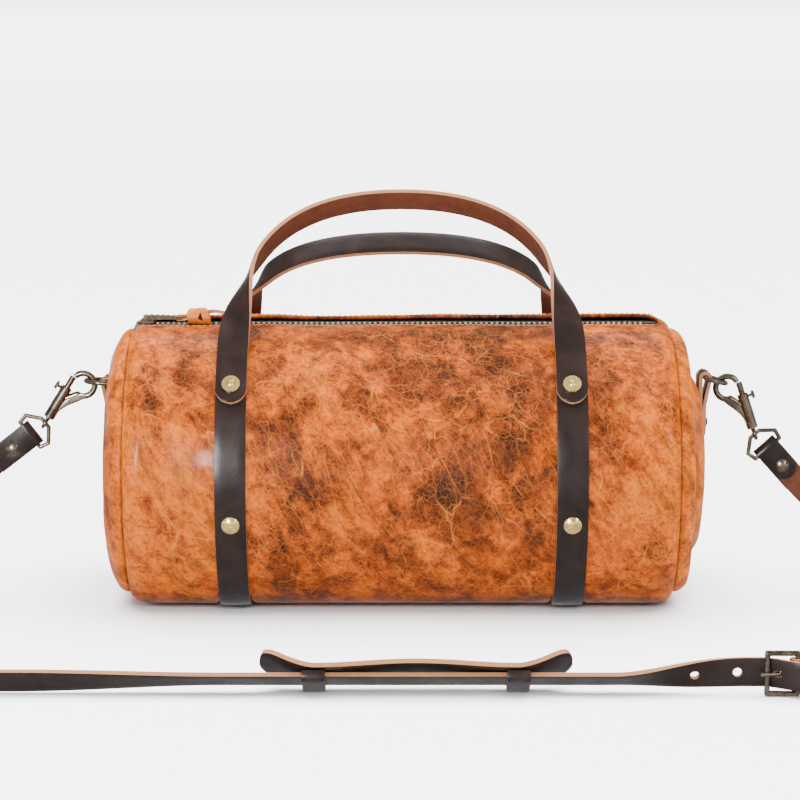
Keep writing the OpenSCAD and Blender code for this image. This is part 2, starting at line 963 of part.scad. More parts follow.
module hex_ring(bar, d_tilt, tilt, strap_tilt) {
    path = [
        [hex_top, 0], [hex_shoulder[0], -hex_shoulder[1]], [hex_base, -hex_len], [-hex_base, -hex_len],
        [-hex_shoulder[0], -hex_shoulder[1]], [-hex_top, 0]
    ];
    strap_end_frame(bar, d_tilt, tilt, strap_tilt)
        for (i = [0 : 5])
            rod(path[i], path[(i + 1) % 6], hex_wire_r);
}

// The strap's end folded over the base bar; the layer in front ends past the rivet
module strap_end(bar, d_tilt, tilt, strap_tilt) {
    bend_out = bar_bend_in + strap_t;
    front_end = end_rivet_d + end_tail;
    strap_end_frame(bar, d_tilt, tilt, strap_tilt)
        translate([0, 0, -hex_len])
            difference() {
                union() {
                    along_x(-strap_w / 2, strap_w / 2) {
                        difference() {
                            circle(bend_out);
                            circle(bar_bend_in);
                            translate([-big / 2, -big])
                                square(big);
                        }
                        polygon([
                            [bar_bend_in, 0], [bend_out, 0], [strap_t, -converge], [strap_t, -end_len + hex_len],
                            [0, -end_len + hex_len], [0, -converge]
                        ]);
                    }
                    intersection() {
                        along_x(-strap_w / 2, strap_w / 2)
                            polygon([
                                [-bar_bend_in, 0], [-bend_out, 0], [-strap_t, -converge], [-strap_t, -front_end],
                                [0, -front_end], [0, -converge]
                            ]);
                        across_y(big) {
                            translate([0, strap_w / 2 - front_end])
                                circle(strap_w / 2);
                            translate([-strap_w / 2, strap_w / 2 - front_end])
                                square([strap_w, front_end]);
                        }
                    }
                }
                translate([0, 0, -end_rivet_d])
                    rotate([90, 0, 0])
                        cylinder(r = shank_r + rivet_fit, h = big, center = true);
            }
}

module strap_end_rivet(bar, d_tilt, tilt, strap_tilt) {
    strap_end_frame(bar, d_tilt, tilt, strap_tilt)
        translate([0, 0, -hex_len - end_rivet_d])
            rotate([90, 0, 0]) {
                translate([0, 0, -strap_t - 0.5])
                    cylinder(r = shank_r, h = 2 * strap_t + 1);
                translate([0, 0, strap_t])
                    dome(small_cap_r, 1.4);
                mirror([0, 0, 1])
                    translate([0, 0, strap_t])
                        dome(small_cap_r, 1.4);
            }
}

// Each hanging piece once as it is on the right, and once turned over for the left
module on_left() {
    mirror([1, 0, 0])
        children();
}

module hook_left() {
    color("darkslategray")
        on_left()
            hook(flipped(bar_left), d_tilt_left, hook_tilt_left);
}

module hook_right() {
    color("darkslategray")
        hook(bar_right, d_tilt_right, hook_tilt_right);
}

module hook_bolt_left() {
    color("lightslategray")
        on_left()
            hook_bolt(flipped(bar_left), d_tilt_left, hook_tilt_left);
}

module hook_bolt_right() {
    color("lightslategray")
        hook_bolt(bar_right, d_tilt_right, hook_tilt_right);
}

module hook_spring_left() {
    color("silver")
        on_left()
            hook_spring(flipped(bar_left), d_tilt_left, hook_tilt_left);
}

module hook_spring_right() {
    color("silver")
        hook_spring(bar_right, d_tilt_right, hook_tilt_right);
}

module swivel_eye_left() {
    color("slategray")
        on_left()
            swivel_eye(flipped(bar_left), d_tilt_left, hook_tilt_left);
}

module swivel_eye_right() {
    color("slategray")
        swivel_eye(bar_right, d_tilt_right, hook_tilt_right);
}

module hex_ring_left() {
    color("gray")
        on_left()
            hex_ring(flipped(bar_left), d_tilt_left, hook_tilt_left, strap_tilt_left);
}

module hex_ring_right() {
    color("gray")
        hex_ring(bar_right, d_tilt_right, hook_tilt_right, strap_tilt_right);
}

module strap_end_left() {
    color("maroon")
        on_left()
            strap_end(flipped(bar_left), d_tilt_left, hook_tilt_left, strap_tilt_left);
}

module strap_end_right() {
    color("maroon")
        strap_end(bar_right, d_tilt_right, hook_tilt_right, strap_tilt_right);
}

module strap_end_rivets_left() {
    color("gold")
        on_left()
            strap_end_rivet(flipped(bar_left), d_tilt_left, hook_tilt_left, strap_tilt_left);
}

module strap_end_rivets_right() {
    color("gold")
        strap_end_rivet(bar_right, d_tilt_right, hook_tilt_right, strap_tilt_right);
}

// Where a strap end stops and its lead takes over, on the right
function lead_top(bar, d_tilt, tilt, strap_tilt) =
    let (p = eye_mid(bar, d_tilt, tilt) + end_len * down(strap_tilt)) [p[0], strap_t / 2, p[1]];

// A section of the strap: it stands on its edge and leans outward from the loop by lean
function strap_section(c, along, lean, width) =
    let (
        t = unit(along),
        out = unit(cross(t, [0, 0, 1])),
        raw = cos(lean) * [0, 0, 1] + sin(lean) * out,
        wide = unit(raw - (raw * t) * t)
    )
    corners(c, wide * width / 2, cross(t, wide) * strap_t / 2);

lead_steps = 30;

module strap_lead_left() {
    top = lead_top(flipped(bar_left), d_tilt_left, hook_tilt_left, strap_tilt_left);
    fall = down(strap_tilt_left);
    start = [-top[0], top[1], top[2]];
    end = [run_start, -run_y, run_height(run_start)];
    path = [start, start + 105 * [-fall[0], 0, fall[1]], end - [150, 0, 0], end];
    color("maroon")
        swept([
            for (i = [0 : lead_steps])
                let (t = i / lead_steps)
                    strap_section(bezier(path, t), bezier_slope(path, t), start_lean * smooth(t / 0.85), strap_w)
        ]);
}

module strap_lead_right() {
    top = lead_top(bar_right, d_tilt_right, hook_tilt_right, strap_tilt_right);
    fall = down(strap_tilt_right);
    start = [short_end, buckle_y + strap_t / 2, buckle_mid_z];
    path = [start, start + [150, 0, 0], top + 80 * [fall[0], 0, fall[1]], top];
    color("maroon")
        swept([
            for (i = [0 : lead_steps])
                let (t = i / lead_steps)
                    strap_section(bezier(path, t), bezier_slope(path, t), 0, strap_w)
        ]);
}

// The front run of the long strap: its lean, the height of its middle, and its place from front to back
lean_from = 112;
lean_to = 180;
rise_from = 60;
cross_from = 188;
cross_to = 209;
function run_leaning(x) = x < 0
    ? start_lean + (run_lean - start_lean) * smooth((x - run_start) / (-95 - run_start))
    : run_lean * (1 - smooth((x - lean_from) / (lean_to - lean_from)));
function edge_height(lean) = strap_w / 2 * cos(lean) + strap_t / 2 * sin(lean);
function run_height(x) = x < 0
    ? edge_height(start_lean) + 0.1 + (run_z - edge_height(start_lean) - 0.1) * smooth((x - run_start) / (-95 - run_start))
    : run_z + (buckle_mid_z - run_z) * smooth((x - rise_from - 48) / (lean_to - rise_from - 48));
function run_place(x) = -run_y - (3.6 + 7.2) * smooth((x - cross_from) / (cross_to - cross_from))
    + (7.2 - tip_y) * smooth((x - cross_to) / 10);
function run_centre(x) = [x, run_place(x), run_height(x)];
function run_along(x) = run_centre(x + 0.5) - run_centre(x - 0.5);
tip_len = 9;
function run_width(x) = let (u = max(0, (x - run_end + tip_len) / tip_len)) strap_w * sqrt(1 - 0.9 * u * u);

// Places of the sections: close together where the strap turns and where its tip narrows
run_places = concat(
    [for (i = [0 : 11]) run_start + i * (-95 - run_start) / 12],
    [-95, lean_from - 4],
    [for (i = [1 : 16]) lean_from - 4 + i * (cross_from - lean_from + 4) / 16],
    [for (i = [1 : 24]) cross_from + i * (cross_to + 10 - cross_from) / 24],
    [run_end - tip_len],
    [for (i = [1 : 6]) run_end - tip_len + i * tip_len / 6]
);

module strap_front() {
    used_x = heel_x - 8.8;
    color("maroon")
        difference() {
            swept([for (x = run_places) strap_section([x, run_place(x), run_height(x)], [1, run_along(x)[1], 0],
                run_leaning(x), run_width(x))]);
            for (k = [-2, -1, 1, 2])
                let (x = used_x + k * hole_pitch, t = unit([1, run_along(x)[1], 0]), lean = run_leaning(x))
                    translate(run_centre(x))
                        rotate([0, 0, atan2(t[1], t[0])])
                            rotate([90 + lean, 0, 0])
                                cylinder(d = hole_d, h = 3 * strap_t, center = true);
            for (swing = [0, prong_swing])
                prong_shaft(prong_r + 0.35, swing);
        }
}

module buckle_frame() {
    low = buckle_wire_r;
    high = buckle_h - buckle_wire_r;
    path = [[front_bar_x, low], [front_bar_x, high], [heel_x, high], [heel_x, low]];
    color("gray")
        translate([0, buckle_y, 0])
            for (i = [0 : 3])
                rod(path[i], path[(i + 1) % 4], buckle_wire_r);
}

// The prong's shaft, from its eye on the heel bar to its tip on the front bar, swung forward about the heel bar
module prong_shaft(r, swing) {
    reach = prong_to - prong_from;
    translate([heel_x, buckle_y, buckle_mid_z])
        rotate([0, 0, swing])
            translate([prong_from[0] - heel_x, prong_from[1], 0])
                rotate([0, 0, atan2(reach[1], reach[0])])
                    rotate([0, 90, 0]) {
                        cylinder(r = r, h = norm(reach));
                        translate([0, 0, norm(reach)])
                            sphere(r);
                    }
}

module buckle_prong() {
    color("silver") {
        difference() {
            prong_shaft(prong_r, 0);
            translate([heel_x, buckle_y, 0])
                cylinder(r = buckle_wire_r + fit, h = buckle_h);
        }
        translate([heel_x, buckle_y, buckle_mid_z])
            difference() {
                cylinder(r = prong_eye_r, h = prong_eye_h, center = true);
                cylinder(r = buckle_wire_r + fit, h = 2 * prong_eye_h, center = true);
            }
    }
}

// The short strap's end folded over the heel bar, with a slot for the prong
module buckle_fold() {
    slot_h = 2 * prong_r + 1.2;
    color("maroon")
        translate([0, buckle_y, buckle_mid_z - strap_w / 2])
            difference() {
                linear_extrude(strap_w) {
                    difference() {
                        translate([heel_x, 0])
                            circle(fold_out);
                        translate([heel_x, 0])
                            circle(fold_in);
                        translate([heel_x, -big / 2])
                            square(big);
                    }
                    for (side = [-1, 1])
                        polygon([
                            [heel_x, side * fold_in], [heel_x, side * fold_out], [fold_flat, side * strap_t],
                            [short_end, side * strap_t], [short_end, 0], [fold_flat, 0]
                        ]);
                }
                translate([heel_x - fold_out - 1, -fold_out - 1, strap_w / 2 - slot_h / 2])
                    cube([fold_out + 6, 2 * fold_out + 2, slot_h]);
            }
}

module strap_keeper() {
    gap = 0.2;
    front = -(strap_t + 0.2 + strap_t + gap);
    back = strap_t + gap;
    high = strap_w + 2 * gap;
    color("maroon")
        translate([keeper_x, buckle_y, buckle_mid_z])
            difference() {
                translate([0, front - keeper_t, -high / 2 - keeper_t])
                    cube([keeper_w, back - front + 2 * keeper_t, high + 2 * keeper_t]);
                translate([-1, front, -high / 2])
                    cube([keeper_w + 2, back - front, high]);
            }
}

// The pad lies behind the strap, curls back at its ends, and two bridges of it pass in front of the strap
module shoulder_pad() {
    back = strap_t / 2 + pad_fit;
    curl = 30;
    lift = 8;
    half = pad_len / 2;
    side_in = strap_w / 2 + pad_fit;
    side_t = 2.7;
    color("sienna")
        intersection() {
            translate([pad_mid, -run_y, run_z])
                rotate([run_lean, 0, 0])
                    difference() {
                        union() {
                            intersection() {
                                linear_extrude(pad_w, center = true)
                                    polygon([
                                        [-half, back + lift], [curl - half, back], [half - curl, back],
                                        [half, back + lift], [half, back + lift + pad_t],
                                        [half - curl, back + pad_t], [curl - half, back + pad_t],
                                        [-half, back + lift + pad_t]
                                    ]);
                                across_y(big)
                                    rounded_outline(pad_len, pad_w, 10);
                            }
                            for (side = [-1, 1])
                                translate([side * bridge_span / 2 - bridge_w / 2, -back - pad_t, -side_in - side_t])
                                    cube([bridge_w, 2 * back + 2 * pad_t, 2 * (side_in + side_t)]);
                        }
                        for (side = [-1, 1])
                            translate([side * bridge_span / 2 - bridge_w / 2 - 1, -back, -side_in])
                                cube([bridge_w + 2, big, 2 * side_in]);
                    }
            translate([-big / 2, -big, 0.1])
                cube([big, big, big]);
        }
}

// A long outline with round corners, centred
module rounded_outline(length, width, r) {
    square([length - 2 * r, width], center = true);
    square([length, width - 2 * r], center = true);
    for (x = [-1, 1])
        for (y = [-1, 1])
            translate([x * (length / 2 - r), y * (width / 2 - r)])
                circle(r);
}

body_panel();
end_panel_left();
end_panel_right();
zip_tape_front();
zip_tape_rear();
zip_teeth_front();
zip_teeth_rear();
zip_stops();
zip_slider();
zip_pull();
zip_pull_lace();
band_left();
band_right();
band_rivets();
handle_front_ends();
handle_rear_ends();
handle_front();
handle_rear();
handle_rivets();
handle_rivet_burrs();
end_tab_left();
end_tab_right();
end_tab_rivets();
d_ring_left();
d_ring_right();
hook_left();
hook_right();
hook_bolt_left();
hook_bolt_right();
hook_spring_left();
hook_spring_right();
swivel_eye_left();
swivel_eye_right();
hex_ring_left();
hex_ring_right();
strap_end_left();
strap_end_right();
strap_end_rivets_left();
strap_end_rivets_right();
strap_lead_left();
strap_lead_right();
strap_front();
buckle_frame();
buckle_prong();
buckle_fold();
strap_keeper();
shoulder_pad();
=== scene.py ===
"""Looks of the barrel bag: leather, zip, straps, metal, floor, lights and camera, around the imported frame."""
import math

import bpy
import numpy as np
from mathutils import Matrix, Vector, noise


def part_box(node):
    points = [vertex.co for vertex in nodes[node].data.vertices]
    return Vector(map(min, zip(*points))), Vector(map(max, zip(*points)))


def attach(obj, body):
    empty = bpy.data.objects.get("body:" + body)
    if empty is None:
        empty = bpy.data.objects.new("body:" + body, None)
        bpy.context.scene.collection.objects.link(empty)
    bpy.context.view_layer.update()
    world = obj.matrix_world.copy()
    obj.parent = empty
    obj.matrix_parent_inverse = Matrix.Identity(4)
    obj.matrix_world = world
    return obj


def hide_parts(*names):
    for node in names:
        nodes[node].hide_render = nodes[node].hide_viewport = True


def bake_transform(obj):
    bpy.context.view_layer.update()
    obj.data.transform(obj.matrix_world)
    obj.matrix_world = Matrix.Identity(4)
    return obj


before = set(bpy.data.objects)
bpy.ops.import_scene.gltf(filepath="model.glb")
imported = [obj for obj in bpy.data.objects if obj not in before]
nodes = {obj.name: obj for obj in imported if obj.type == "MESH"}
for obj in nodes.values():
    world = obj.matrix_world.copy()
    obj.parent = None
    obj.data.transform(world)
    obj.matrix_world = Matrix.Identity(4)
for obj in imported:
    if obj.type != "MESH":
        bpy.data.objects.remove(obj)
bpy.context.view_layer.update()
MM = 0.001
X_DIR = Vector((1, 0, 0))
Y_DIR = Vector((0, 1, 0))

# Sizes that follow from the frame
body_low, body_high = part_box("body_panel")
BODY_R = (body_high.y - body_low.y) / 2
MID_Z = body_high.z - BODY_R
SEAM_X = body_high.x
band_low, band_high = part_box("band_right")
BAND_X = (band_low.x + band_high.x) / 2
BAND_W = band_high.x - band_low.x
BAND_T = 3 * MM
FACE_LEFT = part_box("end_panel_left")[0].x
FACE_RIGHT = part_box("end_panel_right")[1].x
ZIP_ROLL = math.radians(6)
RIVET_A = math.radians(52)
BAND_END_A = math.radians(48.5)
HANDLE_FOLD = 14 * MM
HANDLE_TAIL = 11.5 * MM
STRAP_T = 2.8 * MM
STRAP_W = 16 * MM
LEATHER_T = 2 * MM


# Small helpers

def smooth(u):
    """Runs from 0 to 1 with soft ends."""
    c = float(min(1, max(0, u)))
    return c * c * (3 - 2 * c)


def wave(p, size, seed=0.0):
    """Soft noise between about -1 and 1, with hills of the given size."""
    return noise.noise(Vector(p) / size + Vector((seed, seed * 0.7, -seed)))


def new_object(name, data):
    """Puts a mesh, lamp or camera into the scene."""
    thing = bpy.data.objects.new(name, data)
    bpy.context.scene.collection.objects.link(thing)
    return thing


def modify(piece, kind, **settings):
    """Adds a modifier with its settings and applies it."""
    modifier = piece.modifiers.new(kind.lower(), kind)
    for key, value in settings.items():
        setattr(modifier, key, value)
    bpy.context.view_layer.objects.active = piece
    bpy.ops.object.modifier_apply(modifier=modifier.name)


def new_mesh(name, verts, faces, materials, face_slots=None):
    """A smooth-shaded mesh, put into the scene."""
    mesh = bpy.data.meshes.new(name)
    mesh.from_pydata([tuple(v) for v in verts], [], faces)
    for material in materials:
        mesh.materials.append(material)
    if face_slots is not None:
        mesh.polygons.foreach_set("material_index", face_slots)
    mesh.polygons.foreach_set("use_smooth", [True] * len(mesh.polygons))
    mesh.update()
    return new_object(name, mesh)


def dress(piece, body, slot, *replaced):
    """Rides a finished piece on its body and hides the parts that it stands for; its slot is not used."""
    if body:
        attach(piece, body)
    if replaced:
        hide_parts(*replaced)
    return piece


def bezier(p, t):
    """A point on the curve with four control points."""
    t = float(t)
    return ((1 - t) ** 3 * p[0] + 3 * (1 - t) ** 2 * t * p[1] + 3 * (1 - t) * t * t * p[2] + t ** 3 * p[3])


# Materials

class Shader:
    """A node material whose main shader is reached by name."""

    def __init__(self, name, roughness=0.5, metallic=0.0, color=(0.5, 0.5, 0.5), coat=0.0, coat_roughness=0.2,
                 specular=0.5, sheen=0.0):
        self.material = bpy.data.materials.new(name)
        self.material.use_nodes = True
        self.tree = self.material.node_tree
        self.main = self.tree.nodes["Principled BSDF"]
        self.set(self.main, {
            "Base Color": (*color, 1), "Roughness": roughness, "Metallic": metallic, "Coat Weight": coat,
            "Coat Roughness": coat_roughness, "Specular IOR Level": specular, "Sheen Weight": sheen,
        })
        self.coords = self.add("ShaderNodeTexCoord").outputs["Object"]

    def add(self, kind, **values):
        node = self.tree.nodes.new(kind)
        for key, value in values.items():
            setattr(node, key, value)
        return node

    def set(self, node, values):
        """Sets a node's inputs by name."""
        for name, value in values.items():
            node.inputs[name].default_value = value

    def link(self, source, target):
        self.tree.links.new(source, target)

    def feed(self, socket, value):
        """Gives a socket an output, a colour or a number."""
        if hasattr(value, "links"):
            self.link(value, socket)
        elif hasattr(value, "__len__"):
            socket.default_value = (*value, 1)
        else:
            socket.default_value = value

    def turned(self, scale, angles):
        """Coordinates turned and then stretched, so that patterns lie at a slant."""
        turn = self.add("ShaderNodeMapping", vector_type="POINT")
        turn.inputs["Rotation"].default_value = angles
        self.link(self.coords, turn.inputs["Vector"])
        node = self.add("ShaderNodeMapping")
        node.inputs["Scale"].default_value = scale
        self.link(turn.outputs["Vector"], node.inputs["Vector"])
        return node.outputs["Vector"]

    def noise(self, scale, detail=4.0, rough=0.55, distortion=0.0, vector=None):
        """Cloudy values around one half."""
        node = self.add("ShaderNodeTexNoise")
        self.set(node, {"Scale": scale, "Detail": detail, "Roughness": rough, "Distortion": distortion})
        self.link(vector or self.coords, node.inputs["Vector"])
        return node.outputs["Fac"]

    def warped(self, scale, amount, vector=None):
        """Coordinates pushed about by noise, for wandering lines."""
        push = self.add("ShaderNodeTexNoise")
        self.set(push, {"Scale": scale, "Detail": 3})
        self.link(vector or self.coords, push.inputs["Vector"])
        mix = self.add("ShaderNodeVectorMath", operation="MULTIPLY_ADD")
        mix.inputs[1].default_value = (amount, amount, amount)
        self.link(push.outputs["Color"], mix.inputs[0])
        self.link(vector or self.coords, mix.inputs[2])
        return mix.outputs["Vector"]

    def cracks(self, scale, vector, feature="DISTANCE_TO_EDGE"):
        """Distances to the edges or middles of a net of cells."""
        node = self.add("ShaderNodeTexVoronoi", feature=feature)
        node.inputs["Scale"].default_value = scale
        self.link(vector, node.inputs["Vector"])
        return node.outputs["Distance"]

    def ramp(self, source, *stops):
        """A colour or grey by its stops, each a place and a value."""
        node = self.add("ShaderNodeValToRGB")
        ramp = node.color_ramp
        while len(ramp.elements) < len(stops):
            ramp.elements.new(0.5)
        for element, (place, value) in zip(ramp.elements, stops):
            element.position = place
            element.color = (*value, 1) if hasattr(value, "__len__") else (value, value, value, 1)
        self.link(source, node.inputs["Fac"])
        return node.outputs["Color"]

    def math(self, operation, a, b):
        """One sum of two values or outputs."""
        node = self.add("ShaderNodeMath", operation=operation)
        self.feed(node.inputs[0], a)
        self.feed(node.inputs[1], b)
        return node.outputs[0]

    def mix(self, factor, a, b, blend="MIX"):
        """Blends two colours by a factor."""
        node = self.add("ShaderNodeMix", data_type="RGBA", blend_type=blend)
        self.feed(node.inputs["Factor"], factor)
        self.feed(node.inputs[6], a)
        self.feed(node.inputs[7], b)
        return node.outputs[2]

    def bump(self, height, strength, distance, after=None):
        """Relief from a height, laid over an earlier one."""
        node = self.add("ShaderNodeBump")
        self.set(node, {"Strength": strength, "Distance": distance})
        self.link(height, node.inputs["Height"])
        if after is not None:
            self.link(after, node.inputs["Normal"])
        return node.outputs["Normal"]

    def color(self, source):
        self.link(source, self.main.inputs["Base Color"])

    def roughness(self, source):
        self.link(source, self.main.inputs["Roughness"])

    def normal(self, source):
        self.link(source, self.main.inputs["Normal"])


# Colours, as linear red, green and blue
BRIGHT = (0.333, 0.073, 0.0008)
ORANGE = (0.255, 0.0435, 0.0006)
RUSSET = (0.112, 0.0185, 0.0016)
UMBER = (0.034, 0.0082, 0.0022)
CREASE = (0.47, 0.155, 0.02)
DARK_GRAIN = (0.0072, 0.0036, 0.0031)
DARK_WORN = (0.0155, 0.0080, 0.0065)
RAW_EDGE = (0.25, 0.115, 0.052)
FLESH = (0.085, 0.024, 0.010)


def bag_leather():
    """Pull-up leather: warm and light where it was bent, dark where oil lies, with pale creases all over; the
    tone adds a painted highlight and painted light on the end panels.
    """
    s = Shader("bag leather", roughness=0.42, coat=0.045, coat_roughness=0.12, specular=0.06)
    tone = s.add("ShaderNodeAttribute", attribute_name="tone").outputs["Fac"]
    warp = s.warped(14, 0.03)
    clouds = s.noise(27, 9, 0.60, 0.4, warp)
    blots = s.noise(78, 8, 0.66, 0.7, warp)
    marbling_and_light = s.math("ADD", s.math("MULTIPLY", clouds, 0.42), s.math("MULTIPLY", blots, 0.52))
    # The tone brings in darker marbling, a painted highlight and painted light on the end panels
    marbling_and_light = s.math("ADD", marbling_and_light, s.math("MULTIPLY", s.math("SUBTRACT", tone, 0.27), 0.13))
    base = s.ramp(marbling_and_light, (0.38, BRIGHT), (0.47, ORANGE), (0.535, RUSSET), (0.62, UMBER))
    hair = s.noise(110, 8, 0.78, 0.5, s.turned((1.0, 1.0, 0.25), (0, math.radians(28), 0)))
    base = s.mix(0.9, base, s.ramp(hair, (0.38, 0.42), (0.5, 1.0), (0.62, 1.45)), "MULTIPLY")
    veins = s.ramp(s.cracks(170, s.warped(110, 0.009)), (0.0, 0.55), (0.10, 1.0))
    base = s.mix(s.ramp(s.noise(40, 5, 0.6), (0.40, 0.15), (0.58, 0.9)), base, veins, "MULTIPLY")
    specks = s.ramp(s.noise(560, 4, 0.75, 0.3), (0.38, 0.35), (0.47, 1.0))
    base = s.mix(0.75, base, specks, "MULTIPLY")
    slant = s.turned((1.0, 1.0, 0.42), (0, math.radians(32), 0))
    long_lines = s.ramp(s.cracks(36, s.warped(30, 0.02, slant)), (0.0, 1.0), (0.016, 0.0))
    short_lines = s.ramp(s.cracks(110, s.warped(70, 0.012, slant)), (0.0, 1.0), (0.035, 0.0))
    tiny_lines = s.ramp(s.cracks(330, s.warped(160, 0.004)), (0.0, 1.0), (0.07, 0.0))
    broken = s.ramp(s.noise(70, 5, 0.65), (0.40, 0.0), (0.60, 1.0))
    spread = s.ramp(s.noise(33, 4, 0.6), (0.34, 0.25), (0.58, 1.0))
    lines = s.math("MAXIMUM", s.math("MULTIPLY", long_lines, broken), s.math("MULTIPLY", short_lines, 0.5))
    lines = s.math("MULTIPLY", s.math("MAXIMUM", lines, s.math("MULTIPLY", tiny_lines, 0.33)), spread)
    base = s.mix(s.math("MULTIPLY", lines, 0.6), base, CREASE)
    s.color(base)
    s.roughness(s.ramp(s.noise(48, 5, 0.6), (0.35, 0.32), (0.68, 0.52)))
    n = s.bump(s.cracks(900, s.warped(300, 0.002), "F1"), 0.10, 0.0003)
    n = s.bump(s.noise(170, 5, 0.6, 0.5), 0.20, 0.0006, n)
    n = s.bump(lines, 0.30, 0.0005, n)
    n = s.bump(s.noise(26, 4, 0.5), 0.34, 0.003, n)
    s.normal(n)
    return s.material


def strap_grain(name, base, worn):
    """Smooth waxed leather, mottled between two colours."""
    s = Shader(name, roughness=0.40, coat=0.05, coat_roughness=0.25, specular=0.18)
    mottled = s.ramp(s.noise(45, 6, 0.6, 0.8), (0.38, base), (0.72, worn))
    scuffs = s.ramp(s.noise(700, 3, 0.6, 0.4), (0.3, 0.75), (0.6, 1.0))
    s.color(s.mix(0.6, mottled, scuffs, "MULTIPLY"))
    s.roughness(s.ramp(s.noise(80, 4), (0.3, 0.27), (0.75, 0.45)))
    n = s.bump(s.cracks(1100, s.warped(400, 0.0015), "F1"), 0.12, 0.0003)
    s.normal(s.bump(s.noise(120, 4), 0.18, 0.0006, n))
    return s.material


def raw_leather(name, color, dark, scale):
    """The dull fibrous look of a cut edge or a flesh side."""
    s = Shader(name, roughness=0.85, specular=0.12)
    s.color(s.ramp(s.noise(scale, 6, 0.7, 0.5), (0.3, dark), (0.7, color)))
    s.normal(s.bump(s.noise(scale * 3, 4, 0.7), 0.4, 0.0004))
    return s.material


def metal(name, light, dark, roughness, wear_scale=260.0, metallic=1.0):
    """Worn metal that is darker and smoother in patches."""
    s = Shader(name, roughness=roughness, metallic=metallic)
    s.color(s.ramp(s.noise(wear_scale, 5, 0.6, 0.4), (0.35, dark), (0.62, light)))
    smoother, rougher = roughness * 0.75, min(1.0, roughness * 1.4)
    s.roughness(s.ramp(s.noise(wear_scale * 1.7, 4), (0.3, smoother), (0.7, rougher)))
    s.normal(s.bump(s.noise(1500, 3), 0.06, 0.0002))
    return s.material


def zip_cloth():
    """Black woven tape."""
    s = Shader("zip cloth", roughness=0.9, color=(0.008, 0.008, 0.009), specular=0.2, sheen=0.2)
    weave = s.add("ShaderNodeTexWave", wave_type="BANDS", bands_direction="X")
    weave.inputs["Scale"].default_value = 900
    s.link(s.coords, weave.inputs["Vector"])
    s.normal(s.bump(weave.outputs["Fac"], 0.5, 0.0003))
    return s.material


def thread():
    """Sewing thread."""
    s = Shader("thread", roughness=0.7, color=(0.36, 0.15, 0.05))
    s.normal(s.bump(s.noise(2500, 2), 0.3, 0.0001))
    return s.material


BAG_LEATHER = bag_leather()
GRAIN = strap_grain("strap grain", DARK_GRAIN, DARK_WORN)
EDGE = raw_leather("raw edge", RAW_EDGE, (0.20, 0.09, 0.042), 420)
HANDLE_FLESH = raw_leather("handle flesh", FLESH, (0.055, 0.0145, 0.006), 160)
STRAP_FLESH = raw_leather("strap flesh", (0.072, 0.022, 0.011), (0.045, 0.0135, 0.007), 200)
LINING = raw_leather("inside leather", (0.15, 0.065, 0.03), (0.10, 0.042, 0.02), 150)
LACE = strap_grain("lace leather", (0.32, 0.072, 0.004), (0.41, 0.112, 0.009))
BRASS = metal("rivet brass", (0.72, 0.52, 0.18), (0.52, 0.36, 0.11), 0.22, 160.0, 0.85)
NICKEL = metal("aged nickel", (0.175, 0.142, 0.105), (0.085, 0.068, 0.050), 0.24, 120.0, 0.95)
# Painted highlight: the front row of zip teeth gets a lighter metal than the rear row, for the light that
# catches its tops
HIGHLIT_TOOTH_METAL = metal("tooth metal with painted highlight", (0.66, 0.55, 0.38), (0.40, 0.32, 0.20), 0.30, metallic=0.6)
ZIP_METAL = metal("zip metal", (0.13, 0.10, 0.062), (0.04, 0.031, 0.019), 0.34, metallic=0.85)
CLOTH = zip_cloth()
THREAD = thread()
STRIP = [GRAIN, EDGE, HANDLE_FLESH]
STRAP_STRIP = [GRAIN, EDGE, STRAP_FLESH]
LEFT_STRIP = [GRAIN, EDGE, GRAIN]


# The leather shell

def radial(angle, r, x=0.0):
    """A point on the round section; the angle is measured from the top and is negative at the front."""
    return Vector((x, r * math.sin(angle), MID_Z + r * math.cos(angle)))


# Darker places in the marbling, as x and height on the front with a reach and a strength
DARK_SPOTS = [
    ((30, 160), 55, 0.55), ((48, 118), 34, 0.55), ((33, 82), 30, 0.45), ((-60, 92), 26, 0.35),
    ((150, 155), 34, 0.5), ((-20, 50), 60, 0.25), ((-120, 165), 40, 0.25), ((78, 60), 26, 0.3),
]
# Lighter places, as x and height on the front with a reach and a strength; the one at (-118, 90) is a painted
# highlight where the leather shines
LIGHT_SPOTS_AND_HIGHLIGHT = [((-118, 90), 45, 0.5), ((118, 60), 40, 0.35), ((-15, 110), 26, 0.3), ((0, 8), 60, 0.25)]


def tone_at(p):
    """How dark the marbling is at a point, from 0 to 1, with a painted highlight on the left and painted light
    on the end panels, which are lightest.
    """
    tone = 0.42
    for spots, sign in ((DARK_SPOTS, 1), (LIGHT_SPOTS_AND_HIGHLIGHT, -1)):
        for (x, z), reach, strength in spots:
            d2 = ((p[0] / MM - x) ** 2 + (p[2] / MM - z) ** 2) / reach ** 2
            tone += sign * strength * math.exp(-d2)
    # Painted light: both end panels are made lighter, standing in for the light that falls on them from the
    # side
    tone -= 0.42 * smooth((abs(p[0]) / MM - 150) / 16)
    return min(1.0, max(0.0, tone))


def set_tone(piece):
    """Keeps the tone with each vertex, for the leather's material."""
    attribute = piece.data.attributes.new("tone", "FLOAT", "POINT")
    attribute.data.foreach_set("value", [tone_at(v.co) for v in piece.data.vertices])


# How the body's leather turns in at its two ends
CORNER_R = 11 * MM
END_STRETCH = 16 * MM
BODY_END_X = SEAM_X + 1.2 * MM
SEAM_R = BODY_R - 7 * MM


def body_radius(x):
    """The leather turns in towards the end seams."""
    u = np.clip((abs(x) - (BODY_END_X - 1.3 * CORNER_R)) / (1.3 * CORNER_R), 0, 1)
    return SEAM_R + (BODY_R - SEAM_R) * math.sqrt(max(0.0, 1 - u ** 2.4))


